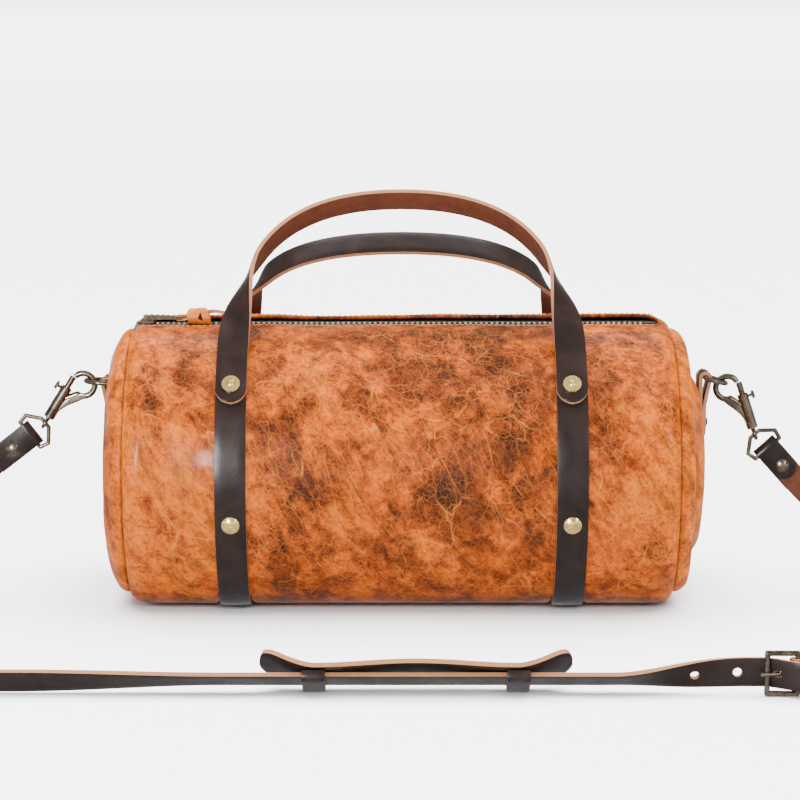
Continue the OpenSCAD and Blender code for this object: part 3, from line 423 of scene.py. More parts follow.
def floor_level(x):
    """The bottom leather is lifted by the bands that pass under it."""
    d = abs(abs(x) - BAND_X) - BAND_W / 2
    return (BAND_T + 0.1 * MM) * (1 - smooth((d + 0.2 * MM) / (2.5 * MM)))


ZIP_FROM = -SEAM_X + 1 * MM
ZIP_TO = SEAM_X - 5.5 * MM
LIP_HALF = 5.4 * MM


def lip_half(x):
    """Half of the zip's slot, which closes at its two ends."""
    ends = min(x - ZIP_FROM, ZIP_TO - x) / (5 * MM)
    return LIP_HALF * math.sqrt(max(0.0, min(1.0, ends)))


def lip_rise(rear, from_lip):
    """The front lip dips so that the teeth show over it, and the rear lip stands up."""
    if rear:
        return (1.7 * math.exp(-(from_lip / (8 * MM)) ** 2) - 0.9 * math.exp(-(from_lip / MM) ** 2)) * MM
    return (-1.5 * math.exp(-(from_lip / (9 * MM)) ** 2) - 0.8 * math.exp(-(from_lip / MM) ** 2)) * MM


def settled(angle, r, level=0.05 * MM):
    """A radius from the middle of the section, softly stopped by a level just above the floor."""
    below = -math.cos(angle)
    if below < 0.05:
        return r
    stop = (MID_Z - level) / below
    return (r ** -26 + stop ** -26) ** (-1 / 26)


# Places where the leather swells or sinks, as x and angle, their reach, and how far
SWELLS = [
    ((-102, -84), (17, 24), 2.0), ((-138, -88), (12, 22), -1.2), ((-62, -78), (20, 26), 1.2),
    ((55, -70), (30, 20), 1.3), ((132, -75), (16, 26), 1.5), ((10, -100), (36, 14), -1.0),
]


def lump(x, angle):
    """The soft unevenness of stuffed leather."""
    p = (x, BODY_R * math.sin(angle), BODY_R * math.cos(angle))
    soft = 1.5 * wave(p, 75 * MM, 3) + 0.55 * wave(p, 26 * MM, 9)
    for (at_x, at_angle), (reach_x, reach_a), height in SWELLS:
        away = ((x / MM - at_x) / reach_x) ** 2 + ((math.degrees(angle) - at_angle) / reach_a) ** 2
        soft += height * math.exp(-away)
    return soft * MM * smooth((MID_Z + BODY_R * math.cos(angle)) / (26 * MM))


def body_shell():
    """The round leather, from one lip of the zip around the bag to the other."""
    ends = np.linspace(BODY_END_X - END_STRETCH, BODY_END_X, 17)
    along = np.concatenate([-ends[:0:-1], np.linspace(-ends[0], ends[0], 150), ends[1:]])
    around = 260
    shares = np.linspace(0, 1, around)
    near_lip = 0.5 - 0.5 * np.cos(np.pi * shares)
    shares = 0.35 * near_lip + 0.65 * shares
    verts = []
    for x in along:
        base = body_radius(x)
        half = max(lip_half(x), 0.05 * MM) / base
        for share in shares:
            angle = -ZIP_ROLL - half - share * (2 * math.pi - 2 * half)
            from_lip = min(share, 1 - share) * 2 * math.pi * base
            level = floor_level(x) + 0.05 * MM
            r = settled(angle, BODY_R, level) * base / BODY_R
            r += lump(x, angle) * smooth((BODY_END_X - abs(x)) / (15 * MM))
            slot = min(1.0, lip_half(x) / LIP_HALF)
            r += slot * lip_rise(share > 0.5, from_lip)
            p = radial(angle, r, x)
            p.z = max(p.z, level)
            verts.append(p)
    faces = []
    count = len(along)
    for i in range(count - 1):
        for j in range(around - 1):
            a = i * around + j
            faces.append((a, a + 1, a + around + 1, a + around))
    for i in (0, count - 2):
        a = i * around
        faces.append((a, a + around, a + 2 * around - 1, a + around - 1))
    shell = new_mesh("leather_body", verts, faces, [BAG_LEATHER, LINING])
    set_tone(shell)
    thicken(shell)
    return dress(shell, "bag", "bag_leather", "body_panel")


def thicken(piece):
    """Gives a shell its thickness inwards, with its second material inside."""
    modify(piece, "SOLIDIFY", thickness=LEATHER_T, offset=-1, use_even_offset=False, material_offset=1)


def end_outline(face, crest, crest_r, shoulder_r):
    """Radius and place along X of an end panel's section, from its seam to its middle."""
    return [
        (SEAM_R - 1.5 * MM, SEAM_X + 0.2 * MM), (SEAM_R - 0.2 * MM, SEAM_X + 2.6 * MM),
        (SEAM_R - 1.6 * MM, SEAM_X + 6.5 * MM), (SEAM_R - 6 * MM, SEAM_X + 10 * MM),
        (crest_r, crest), (shoulder_r, crest + 0.35 * (face - crest)), (48 * MM, face - 0.4 * MM),
        (30 * MM, face - 0.05 * MM), (0.0, face - 0.05 * MM),
    ]


def end_panel(side, face, crest, crest_r, shoulder_r, name, node):
    """A puffed end face with soft folds, calm under the ring's tab."""
    outline = np.array(end_outline(face, crest, crest_r, shoulder_r))
    steps = np.linspace(0, len(outline) - 1, 60)
    known = np.arange(len(outline))
    r_line = cubic(known, outline[:, 0], steps)
    x_line = cubic(known, outline[:, 1], steps)
    around = 220
    verts = []
    for k in range(len(steps) - 1):
        for j in range(around):
            angle = 2 * math.pi * j / around
            r, x = r_line[k], x_line[k]
            drawn_in = settled(angle, BODY_R) / BODY_R - 1
            p = radial(angle, r * (1 + drawn_in * smooth((r - 30 * MM) / (50 * MM))))
            fold = smooth((r - 20 * MM) / (40 * MM)) * smooth((SEAM_R - r) / (8 * MM))
            bulge = (0.8 * wave(p, 38 * MM, 5 + side) + 0.3 * wave(p, 15 * MM, 8 + side)) * MM * fold
            near_tab = math.exp(-((p.y / (16 * MM)) ** 2) - ((p.z - 118 * MM) / (34 * MM)) ** 2)
            bulge *= 1 - near_tab
            p.x = side * (x + bulge)
            p.z = max(p.z, 0.1 * MM)
            verts.append(p)
    verts.append(Vector((side * x_line[-1], 0, MID_Z)))
    rows = len(steps) - 1
    faces = []
    for k in range(rows - 1):
        for j in range(around):
            a, b = k * around + j, k * around + (j + 1) % around
            faces.append((a, b, b + around, a + around)[::-side])
    last = (rows - 1) * around
    for j in range(around):
        faces.append((last + j, last + (j + 1) % around, len(verts) - 1)[::-side])
    panel = new_mesh(name, verts, faces, [BAG_LEATHER, LINING])
    set_tone(panel)
    thicken(panel)
    return dress(panel, "bag", "bag_leather", node)


def cubic(x, y, at):
    """A smooth curve through the given values."""
    slope = np.gradient(y, x)
    i = np.clip(np.searchsorted(x, at, side="right") - 1, 0, len(x) - 2)
    h = x[i + 1] - x[i]
    t = (at - x[i]) / h
    return ((2 * t ** 3 - 3 * t ** 2 + 1) * y[i] + (t ** 3 - 2 * t ** 2 + t) * h * slope[i]
            + (3 * t ** 2 - 2 * t ** 3) * y[i + 1] + (t ** 3 - t ** 2) * h * slope[i + 1])


# Flat leather strips

# Places in a strip's list of materials
GRAIN_FACE = 0
EDGE_FACE = 1
FLESH_FACE = 2
STRIP_CUTS = 9


def strip(name, centres, wides, thicks, width, depth, materials, soft=0.4 * MM):
    """A leather strip along centres. Its grain side faces along thicks, and both long edges are cut bare."""
    widths = width if hasattr(width, "__len__") else [width] * len(centres)
    outline = [(u * sign, sign) for sign in (1, -1) for u in np.linspace(1, -1, STRIP_CUTS)]
    verts = []
    for c, w, n, span in zip(centres, wides, thicks, widths):
        for u, sign in outline:
            half = max(span / 2 - (soft if abs(u) > 0.99 else 0.0), 0.2 * MM)
            rounding = soft * abs(u) ** 6 * (0.9 if sign > 0 else 0.5)
            lift = depth / 2 - rounding
            verts.append(c + w * (u * half) + n * (sign * lift))
    ring = len(outline)
    edges = (STRIP_CUTS - 1, ring - 1)
    faces, slots = [], []
    for i in range(len(centres) - 1):
        for j in range(ring):
            a, b = i * ring + j, i * ring + (j + 1) % ring
            faces.append((a, a + ring, b + ring, b))
            slots.append(EDGE_FACE if j in edges else (GRAIN_FACE if j < edges[0] else FLESH_FACE))
    faces.append(tuple(range(ring)))
    last = (len(centres) - 1) * ring
    faces.append(tuple(last + j for j in reversed(range(ring))))
    slots += [EDGE_FACE, EDGE_FACE]
    piece = new_mesh(name, verts, faces, materials, slots)
    sharpen(piece)
    return piece


def sharpen(piece, angle=40):
    """Keeps cut edges crisp while the faces stay smooth."""
    bpy.context.view_layer.objects.active = piece
    piece.select_set(True)
    bpy.ops.object.shade_smooth_by_angle(angle=math.radians(angle))
    piece.select_set(False)


def frames_of(centres, wides):
    """Unit directions along, across and out of a strip."""
    along = [(centres[min(i + 1, len(centres) - 1)] - centres[max(i - 1, 0)]).normalized()
             for i in range(len(centres))]
    flat = [(w - a * w.dot(a)).normalized() for w, a in zip(wides, along)]
    return flat, [a.cross(w).normalized() for a, w in zip(along, flat)]


def band(side, node):
    """A band from its top end at the front, under the bag, to its top end at the back."""
    above = BAND_T / 2 + 0.05 * MM
    centres = []
    for angle in np.linspace(-BAND_END_A, -2 * math.pi + BAND_END_A, 230):
        angle = float(angle)
        centres.append(radial(angle, settled(angle, BODY_R + above, above), side * BAND_X))
    wides, thicks = frames_of(centres, [X_DIR] * len(centres))
    name = "band_strip_" + ("left" if side < 0 else "right")
    piece = strip(name, centres, wides, thicks, BAND_W, BAND_T, STRIP)
    return dress(piece, "bag", "handle_leather", node)


def handle(name, sign, height, rise, shoulder, body, *replaced):
    """A whole hand strap from tip to tip; sign is -1 for the front one."""
    rest_r = BODY_R + BAND_T * 1.5
    out = Vector((0, sign * math.sin(RIVET_A), math.cos(RIVET_A)))
    up = Vector((0, -sign * math.cos(RIVET_A), math.sin(RIVET_A)))
    base = Vector((0, 0, MID_Z)) + out * rest_r
    foot = base + X_DIR * BAND_X
    # Each step of half a strap: centre, direction across, direction out, and distance from the tip
    half = []
    for d in np.linspace(HANDLE_TAIL, 0, 26)[:-1]:
        angle = RIVET_A + d / rest_r
        away = Vector((0, sign * math.sin(angle), math.cos(angle)))
        centre = Vector((BAND_X, rest_r * away.y, MID_Z + rest_r * away.z))
        half.append((centre, X_DIR, away, HANDLE_TAIL - d))
    for d in np.linspace(0, HANDLE_FOLD, 8):
        half.append((foot + up * d, X_DIR, out, HANDLE_TAIL + d))
    path = [Vector((BAND_X, HANDLE_FOLD, 0)), Vector((BAND_X, rise * MM, 0)),
            Vector((shoulder, height, 0)) * MM, Vector((0, height, 0)) * MM]
    done = HANDLE_TAIL + HANDLE_FOLD
    for t in np.linspace(0, 1, 90)[1:]:
        p = bezier(path, t)
        d = (bezier(path, min(1, t + 0.001)) - bezier(path, t - 0.001)).normalized()
        # The strap turns a quarter on its way up
        turn = math.pi / 2 * smooth((t - 0.05) / 0.45)
        across = X_DIR * d.y - up * d.x
        wide = (across * math.cos(turn) - out * math.sin(turn)).normalized()
        thick = (out * math.cos(turn) + across * math.sin(turn)).normalized()
        half.append((base + X_DIR * p.x + up * p.y, wide, thick, done + t))
    flip = Matrix.Diagonal((-1, 1, 1))
    whole = [(flip @ c, flip @ w, flip @ n, d) for c, w, n, d in half]
    whole = whole + half[-2::-1]
    centres, wides, thicks, reach = zip(*whole)
    round_r = BAND_W / 2
    rounding = [math.sqrt(max(0.02, 1 - (1 - d / round_r) ** 2)) if d < round_r else 1 for d in reach]
    widths = [BAND_W * share for share in rounding]
    piece = strip(name, centres, wides, thicks, widths, BAND_T, STRIP)
    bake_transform(piece)
    return dress(piece, None, "handle_leather", *replaced)


# The shoulder strap

def section(c, along, lean):
    """Centre and directions of the strap where it runs along, leaning out from upright."""
    t = along.normalized()
    out = t.cross(Vector((0, 0, 1))).normalized()
    raw = Vector((0, 0, math.cos(lean))) + out * math.sin(lean)
    wide = (raw - t * raw.dot(t)).normalized()
    return c, wide, t.cross(wide)


# The run along the floor in front of the bag, in millimetres and degrees
HALF_STRAP = STRAP_T / MM / 2
RUN_Y = 249.4
RUN_START = -204
RUN_LEAN = 58
START_LEAN = 35
RUN_Z = 8.3
# Where it has risen, turns upright and climbs to the buckle
RISEN_AT = -95
TURN_FROM = 112
TURN_LENGTH = 68
CLIMB_FROM = 108
CLIMB_LENGTH = 72
# Where it crosses the buckle's heel and settles on the short end
CROSS_FROM = 188
CROSS_LENGTH = 21
CROSS_BY = 10.8
SETTLE_FROM = 209
SETTLE_LENGTH = 10
SETTLE_BY = 7.2
BUCKLE_Z = 12.25
BUCKLE_Y = -253.0
HEEL_X = 206.5
PRONG_X = 199.5
SHORT_END = 232.0
TIP_FROM = 249
TIP_LENGTH = 9
HEEL_TO_HOLE = 8.8
HOLE_PITCH = 22.4
HOLE_R = 2.4
PRONG_HOLE_R = 2.0
# Cross sections are set closer here
FINE_FROM = 186
FINE_TO = 222


def edge_height(lean):
    """How high the strap's middle lies when its lower edge rests on the floor."""
    a = math.radians(lean)
    return STRAP_W / MM / 2 * math.cos(a) + HALF_STRAP * math.sin(a)


def risen(x):
    """Share of the way from the run's start to where the strap has risen."""
    return smooth((x - RUN_START) / (RISEN_AT - RUN_START))


def run_lean(x):
    """How far the strap leans from upright, in degrees."""
    if x < 0:
        return START_LEAN + (RUN_LEAN - START_LEAN) * risen(x)
    return RUN_LEAN * (1 - smooth((x - TURN_FROM) / TURN_LENGTH))


def run_height(x):
    """The height of the strap's middle."""
    if x < 0:
        low = edge_height(START_LEAN) + 0.1
        return low + (RUN_Z - low) * risen(x)
    return RUN_Z + (BUCKLE_Z - RUN_Z) * smooth((x - CLIMB_FROM) / CLIMB_LENGTH)


def run_place(x):
    """The strap's place along Y: forward over the buckle's heel, and then back onto the short end."""
    tip_y = HALF_STRAP * 3 + 0.2
    crossing = CROSS_BY * smooth((x - CROSS_FROM) / CROSS_LENGTH)
    settling = (SETTLE_BY - tip_y) * smooth((x - SETTLE_FROM) / SETTLE_LENGTH)
    return -RUN_Y - crossing + settling


def run_point(x):
    """The strap's middle at x."""
    return Vector((x, run_place(x), run_height(x))) * MM


def strap_run():
    """The front run with its rounded tip, its holes, and the hole that the prong stands in."""
    tip = TIP_FROM + TIP_LENGTH * np.sin(np.linspace(0.1, math.pi / 2, 14))
    xs = np.concatenate([np.linspace(RUN_START, FINE_FROM - 2, 150), np.linspace(FINE_FROM, FINE_TO, 50),
                         np.linspace(FINE_TO + 2, TIP_FROM, 12), tip])
    parts, widths = [], []
    for x in xs:
        along = run_point(x + 0.5) - run_point(x - 0.5)
        along.z = 0
        parts.append(section(run_point(x), along, math.radians(run_lean(x))))
        u = max(0.0, (x - TIP_FROM) / TIP_LENGTH)
        widths.append(STRAP_W * math.sqrt(max(0.03, 1 - u * u)))
    centres, wides, thicks = zip(*parts)
    piece = strip("long_strap", centres, wides, thicks, widths, STRAP_T, STRAP_STRIP)
    cutters = []
    used_x = HEEL_X - HEEL_TO_HOLE
    for k in (-2, -1, 1, 2):
        x = used_x + k * HOLE_PITCH
        along = run_point(x + 0.5) - run_point(x - 0.5)
        c, _, thick = section(run_point(x), along, math.radians(run_lean(x)))
        cutters.append((c, thick, HOLE_R * MM, 10 * MM))
    prong = Vector((PRONG_X - 4, BUCKLE_Y - HALF_STRAP, BUCKLE_Z)) * MM
    cutters.append((prong, Vector((-1, -0.2, 0)).normalized(), PRONG_HOLE_R * MM, 22 * MM))
    drill(piece, cutters)
    sharpen(piece)
    return dress(piece, "bag", "strap_leather", "strap_front")


def drill(piece, holes):
    """Cuts round holes whose walls look like cut leather."""
    for centre, axis, r, depth in holes:
        bpy.ops.mesh.primitive_cylinder_add(vertices=40, radius=r, depth=depth, location=centre)
        cutter = bpy.context.object
        cutter.rotation_mode = "QUATERNION"
        cutter.rotation_quaternion = axis.to_track_quat("Z", "Y")
        cutter.data.materials.append(EDGE)
        modify(piece, "BOOLEAN", operation="DIFFERENCE", object=cutter, solver="EXACT",
               material_mode="TRANSFER")
        bpy.data.objects.remove(cutter)


def lead(name, node, path, lean_at, faces=STRAP_STRIP):
    """A side of the strap that bends between the hook's swing and the floor."""
    parts = []
    for t in np.linspace(0, 1, 110):
        along = bezier(path, min(1, t + 0.002)) - bezier(path, max(0, t - 0.002))
        parts.append(section(bezier(path, t), along, math.radians(lean_at(t))))
    centres, wides, thicks = zip(*parts)
    piece = strip(name, centres, wides, thicks, STRAP_W, STRAP_T, faces)
    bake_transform(piece)
    return dress(piece, None, "strap_leather", node)


# What hangs at each end: side, end face, the ring bar's height, and the tilts of ring and hook in degrees
LEFT_HANG = (-1, FACE_LEFT, 132, -3, 32)
RIGHT_HANG = (1, FACE_RIGHT, 135, 16, 18)
LEFT_STRAP_TILT = 52
RIGHT_STRAP_TILT = 42
# How far the ring's bar stands out, the ring reaches, and the hook's bow hangs below it
BAR_OUT = 4.25
RING_REACH = 14
BOW_DROP = 3.2
# From the barrel's foot to the strap end, and the end's length
EYE_DROP = 4.3
STRAP_END_LENGTH = 40
# How far each side's curve is pulled out near its hook and near the floor
LEFT_PULL = (105, 150)
RIGHT_PULL = (80, 150)


def down(tilt):
    """The direction of something that hangs tilted outwards."""
    return Vector((math.sin(math.radians(tilt)), 0, -math.cos(math.radians(tilt))))


def outward(tilt):
    """The direction square to down, away from the bag."""
    return Vector((math.cos(math.radians(tilt)), 0, math.sin(math.radians(tilt))))


def strap_end_direction(tilt, side):
    """The direction in which a strap end points, on its side of the bag."""
    d = down(tilt)
    return Vector((side * d.x, 0, d.z))


# The hook's bow: radius, middle's height over the barrel's foot and shift from it, and thickness
BOW_R = 7.1
BOW_HEIGHT = 28.6
BOW_SHIFT = 7.7
BOW_TUBE = 3.8
# The neck's course out of the barrel, as shift and height, where it meets the bow, and its widths
NECK_COURSE = [(-2.9, 4), (-3.1, 12), (-6.6, 18.4)]
NECK_MEETS_A = 230
NECK_THIN = 0.8
NECK_SWELL = 3.4


def hook_foot(face, bar_z, ring_tilt, hook_tilt):
    """The foot of a hook's barrel, down from the D-ring that it hangs on."""
    a = math.radians(ring_tilt)
    bar = Vector((abs(face) / MM + BAR_OUT, 0, bar_z))
    tip = bar + Vector((math.cos(a), 0, -math.sin(a))) * RING_REACH
    return tip + down(hook_tilt) * (BOW_DROP + BOW_HEIGHT) + outward(hook_tilt) * BOW_SHIFT


def hook_neck(name, side, face, bar_z, ring_tilt, hook_tilt, body):
    """The cast web that swells out of the barrel and narrows into the hook's bow."""
    foot = hook_foot(face, bar_z, ring_tilt, hook_tilt)

    def place(x, z):
        p = foot + outward(hook_tilt) * x - down(hook_tilt) * z
        return Vector((side * p.x, 0, p.z)) * MM

    a = math.radians(NECK_MEETS_A)
    end = (-BOW_SHIFT + BOW_R * math.cos(a), BOW_HEIGHT + BOW_R * math.sin(a))
    path = [place(*at) for at in NECK_COURSE + [end]]
    shares = np.linspace(0, 1, 40)
    centres = [bezier(path, t) for t in shares]
    along = [(bezier(path, min(1, t + 0.01)) - bezier(path, max(0, t - 0.01))).normalized() for t in shares]
    wides, thicks = frames_of(centres, [d.cross(Y_DIR) for d in along])
    widths = [(NECK_THIN + (BOW_TUBE - NECK_THIN) * t + NECK_SWELL * math.sin(math.pi * t ** 1.5)) * MM
              for t in shares]
    piece = strip(name, centres, wides, thicks, widths, BOW_TUBE * MM, [NICKEL] * 3, soft=1.1 * MM)
    return dress(piece, body, "hardware")


def lead_top(side, face, bar_z, ring_tilt, hook_tilt, strap_tilt):
    """Where a strap end stops: down the D-ring, the hook, the swivel's eye and the strap end."""
    foot = hook_foot(face, bar_z, ring_tilt, hook_tilt)
    end = foot + down(hook_tilt) * EYE_DROP + down(strap_tilt) * STRAP_END_LENGTH
    return Vector((side * end.x, HALF_STRAP, end.z)) * MM


def leads():
    """Both sides of the strap, from their strap ends to the run in front."""
    top = lead_top(*LEFT_HANG, LEFT_STRAP_TILT)
    fall = strap_end_direction(LEFT_STRAP_TILT, -1)
    end = run_point(RUN_START)
    path = [top, top + fall * LEFT_PULL[0] * MM, end - Vector((LEFT_PULL[1] * MM, 0, 0)), end]
    lead("left_strap", "strap_lead_left", path, lambda t: START_LEAN * smooth(t / 0.85),
         LEFT_STRIP)
    top = lead_top(*RIGHT_HANG, RIGHT_STRAP_TILT)
    fall = strap_end_direction(RIGHT_STRAP_TILT, 1)
    start = Vector((SHORT_END, BUCKLE_Y + HALF_STRAP, BUCKLE_Z)) * MM
    path = [start, start + Vector((RIGHT_PULL[1] * MM, 0, 0)), top + fall * RIGHT_PULL[0] * MM, top]
    lead("right_strap", "strap_lead_right", path, lambda t: 0.0)


# Zip

def zip_point(s, r, x):
    """A point beside the zip's middle: s is the distance across it, positive towards the back."""
    return radial(-ZIP_ROLL + s / r, r, x)


def tapes():
    """The zip's two cloth tapes under its lips."""
    r = BODY_R - 2.9 * MM
    off = 7.6 * MM
    for side, node in ((-1, "zip_tape_front"), (1, "zip_tape_rear")):
        xs = np.linspace(ZIP_FROM - 0.5 * MM, ZIP_TO + 4 * MM, 160)
        centres = [zip_point(side * off, r, x) for x in xs]
        angle = -ZIP_ROLL + side * off / r
        out = Vector((0, math.sin(angle), math.cos(angle)))
        wide = Vector((0, math.cos(angle), -math.sin(angle)))
        count = len(xs)
        name = "zip_tape_cloth_" + ("front" if side < 0 else "rear")
        piece = strip(name, centres, [wide] * count, [out] * count, 12 * MM, 0.8 * MM, [CLOTH] * 3,
                      soft=0.1 * MM)
        dress(piece, "bag", "zip_tape", node)


def stitches():
    """A row of short stitches along each lip of the zip."""
    verts, faces = [], []
    pitch, length = 3.4 * MM, 2.3 * MM
    rings, sides = 6, 6
    for side, s in ((-1, 9.2 * MM), (1, 9.6 * MM)):
        for x in np.arange(ZIP_FROM + 4 * MM, ZIP_TO - 4 * MM, pitch):
            first = len(verts)
            for k in range(rings):
                u = k / (rings - 1)
                lift = 0.32 * MM * math.sin(math.pi * u)
                angle = -ZIP_ROLL + side * s / BODY_R
                rise = lip_rise(side > 0, s - LIP_HALF)
                r = BODY_R + rise + lump(x, angle) + lift - 0.10 * MM
                for q in range(sides):
                    turn = 2 * math.pi * q / sides
                    verts.append(radial(angle + 0.28 * MM * math.cos(turn) / BODY_R,
                                        r + 0.24 * MM * math.sin(turn), x + u * length))
            for k in range(rings - 1):
                for q in range(sides):
                    a, b = first + k * sides + q, first + k * sides + (q + 1) % sides
                    faces.append((a, b, b + sides, a + sides))
            last = first + (rings - 1) * sides
            faces.append(tuple(first + q for q in reversed(range(sides))))
            faces.append(tuple(last + q for q in range(sides)))
    piece = new_mesh("zip_stitches", verts, faces, [THREAD])
    return dress(piece, "bag", "bag_leather")


# Each turn of the lace's knot, as shift along the lace, slant and radius, and both tails' lengths
KNOT_TURNS = [(-3.4, 0.5, 3.8), (2.2, -0.45, 4.3), (-0.8, 1.2, 4.0)]
FRONT_TAIL = 15.5
REAR_TAIL = 11.5


def lace():
    """The leather lace on the pull: a loop through the metal, a knot of turns, and a flat tail."""
    low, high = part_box("zip_pull_lace")
    pull_low, pull_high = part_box("zip_pull")
    start_x = low.x - 0.7 * MM
    knot_x = high.x - 9 * MM
    level = (pull_low.z + pull_high.z) / 2
    y = (pull_low.y + pull_high.y) / 2

    def rope(name, points, wides, width, depth):
        flat, thick = frames_of(points, wides)
        return strip(name, points, flat, thick, width, depth, [LACE] * 3, soft=0.5 * MM)

    pieces = []
    for sign in (-1, 1):
        points = []
        for u in np.linspace(0, 1, 20):
            x = start_x + u * (knot_x - start_x)
            spread = sign * 1.0 * MM * math.sin(math.pi * u)
            height = sign * 1.2 * MM * math.cos(math.pi * u / 2) + u * 1.2 * MM
            points.append(Vector((x, y + spread, level + height)))
        pieces.append(rope("lace_loop", points, [Y_DIR] * len(points), 3.4 * MM, 1.4 * MM))
    for k, (shift, lean, r) in enumerate(KNOT_TURNS):
        points = []
        for turn in np.linspace(0, 2 * math.pi, 48):
            ring = Vector((math.sin(turn + k) * lean * r, math.cos(turn) * r, math.sin(turn) * r)) * MM
            points.append(Vector((knot_x + shift * MM, y - 2.2 * MM, level + 1.0 * MM)) + ring)
        pieces.append(rope("lace_knot", points, [X_DIR] * len(points), 5.8 * MM, 2.2 * MM))
    for sign, length in ((-1, FRONT_TAIL), (1, REAR_TAIL)):
        points = []
        for u in np.linspace(0, 1, 24):
            points.append(Vector((knot_x + (3 + length * u) * MM, y + sign * (0.9 + 1.6 * u) * MM,
                                  level + (3.4 - 1.6 * u + 1.4 * math.sin(3 * u)) * MM)))
        pieces.append(rope("lace_tail", points, [Y_DIR] * len(points), 3.8 * MM, 1.9 * MM))
    joined = join(pieces, "pull_lace")
    return dress(joined, "pull", "lace", "zip_pull_lace")


def join(pieces, name):
    """Makes one object of several."""
    for piece in pieces:
        piece.select_set(True)
    bpy.context.view_layer.objects.active = pieces[0]
    bpy.ops.object.join()
    pieces[0].name = name
    pieces[0].select_set(False)
    return pieces[0]


# Tabs, strap ends and buckle leather take the CAD solid's form, with worn edges

def from_node(node, name, body, materials, classify, bevel=0.35 * MM):
    """A copy of a CAD solid with rounded edges, whose faces are sorted into grain, cut edge and flesh."""
    mesh = nodes[node].data.copy()
    mesh.materials.clear()
    for material in materials:
        mesh.materials.append(material)
    piece = new_object(name, mesh)
    modify(piece, "WELD", merge_threshold=0.01 * MM)
    modify(piece, "DECIMATE", decimate_type="DISSOLVE", angle_limit=math.radians(1))
    modify(piece, "BEVEL", width=bevel, segments=2, limit_method="ANGLE", angle_limit=math.radians(50))
    for face in piece.data.polygons:
        face.material_index = classify(face.normal, face.center)
    sharpen(piece, 35)
    return dress(piece, body, "strap_leather", node)


def cut_where(test):
    """Sorts a face by its normal into cut edge or grain."""
    return lambda normal, centre: EDGE_FACE if test(normal) else GRAIN_FACE


def strap_end_faces(tilt, side):
    """Sorts the faces of a folded strap end, whose flesh shows between its layers."""
    across = Vector((side * math.cos(math.radians(tilt)), 0, math.sin(math.radians(tilt))))
    fall = strap_end_direction(tilt, side)

    def sort(normal, centre):
        if abs(normal.dot(across)) > 0.3 or normal.dot(fall) > 0.3:
            return EDGE_FACE
        return FLESH_FACE if normal.y < -0.3 and centre.y > -0.1 * MM else GRAIN_FACE
    return sort


def small_leather():
    """Tabs, strap ends, the buckle's fold and the keeper."""
    tab = cut_where(lambda n: abs(n.y) > 0.7 or n.z < -0.7)
    from_node("end_tab_left", "left_tab", "bag", STRAP_STRIP, tab)
    from_node("end_tab_right", "right_tab", "bag", STRAP_STRIP, tab)
    left_end = strap_end_faces(LEFT_STRAP_TILT, -1)
    from_node("strap_end_left", "left_strap_end", "hang_left", LEFT_STRIP, left_end, 0.5 * MM)
    right_end = strap_end_faces(RIGHT_STRAP_TILT, 1)
    from_node("strap_end_right", "right_strap_end", "hang_right", STRAP_STRIP, right_end, 0.5 * MM)
    fold = cut_where(lambda n: abs(n.z) > 0.6 or n.x > 0.7)
    from_node("buckle_fold", "buckle_fold", "bag", STRAP_STRIP, fold)
    keeper = cut_where(lambda n: abs(n.x) > 0.6)
    from_node("strap_keeper", "strap_keeper", "bag", STRAP_STRIP, keeper)


# The shoulder pad in millimetres
PAD_MID = 7.5
PAD_HALF = 81.5
PAD_W = 28.0
PAD_T = 3.2
PAD_CORNER = 10.0
PAD_BOW = 2.3
PAD_CURL = 8.0
BRIDGE_AT = 53.5
BRIDGE_LENGTH = 12.7
BRIDGE_T = 2.4


def pad():
    """The pad bows up between its two bridges, and its ends curl up from the floor."""
    lean = math.radians(RUN_LEAN)
    across = Vector((0, -math.sin(lean), math.cos(lean)))
    back = Vector((0, math.cos(lean), math.sin(lean)))
    centres, wides, widths = [], [], []
    for u in np.sin(np.linspace(-math.pi / 2, math.pi / 2, 150)):
        x = PAD_HALF * float(u)
        bow = PAD_BOW * math.cos(math.pi * min(1, abs(x) / BRIDGE_AT) / 2) ** 2
        curl = PAD_CURL * max(0.0, (abs(x) - BRIDGE_AT) / (PAD_HALF - BRIDGE_AT)) ** 1.5
        lift = HALF_STRAP + 0.3 + PAD_T / 2 + bow + curl
        centres.append((Vector((PAD_MID + x, -RUN_Y, RUN_Z)) + back * lift) * MM)
        lean_here = math.radians(RUN_LEAN - 1.6 * curl)
        wides.append(Vector((0, -math.sin(lean_here), math.cos(lean_here))))
        short_of = PAD_CORNER - min(PAD_CORNER, PAD_HALF - abs(x) + 0.01)
        widths.append(2 * MM * (PAD_W / 2 - PAD_CORNER + math.sqrt(PAD_CORNER ** 2 - short_of ** 2)))
    flat, thick = frames_of(centres, wides)
    pieces = [strip("pad_body", centres, flat, thick, widths, PAD_T * MM, STRAP_STRIP, soft=0.5 * MM)]
    for side in (-1, 1):
        centre = Vector((PAD_MID + side * BRIDGE_AT, -RUN_Y, RUN_Z))
        front, edge, root = 3.0, 10.2, -1.2
        half_loop = [(edge, root), (edge, 0.6), (edge, 1.9), (edge - 0.5, 2.7), (edge - 1.6, front),
                     (6, front)]
        loop = half_loop + [(0, front)] + [(-a, b) for a, b in reversed(half_loop)]
        points = [(centre + across * a - back * b) * MM for a, b in loop]
        flat, thick = frames_of(points, [X_DIR] * len(points))
        bridge = strip("pad_bridge", points, flat, thick, BRIDGE_LENGTH * MM, BRIDGE_T * MM, STRAP_STRIP,
                       soft=0.3 * MM)
        for vertex in bridge.data.vertices:
            vertex.co.z = max(vertex.co.z, 0.1 * MM)
        pieces.append(bridge)
    joined = join(pieces, "shoulder_pad_leather")
    return dress(joined, "pad", "strap_leather", "shoulder_pad")


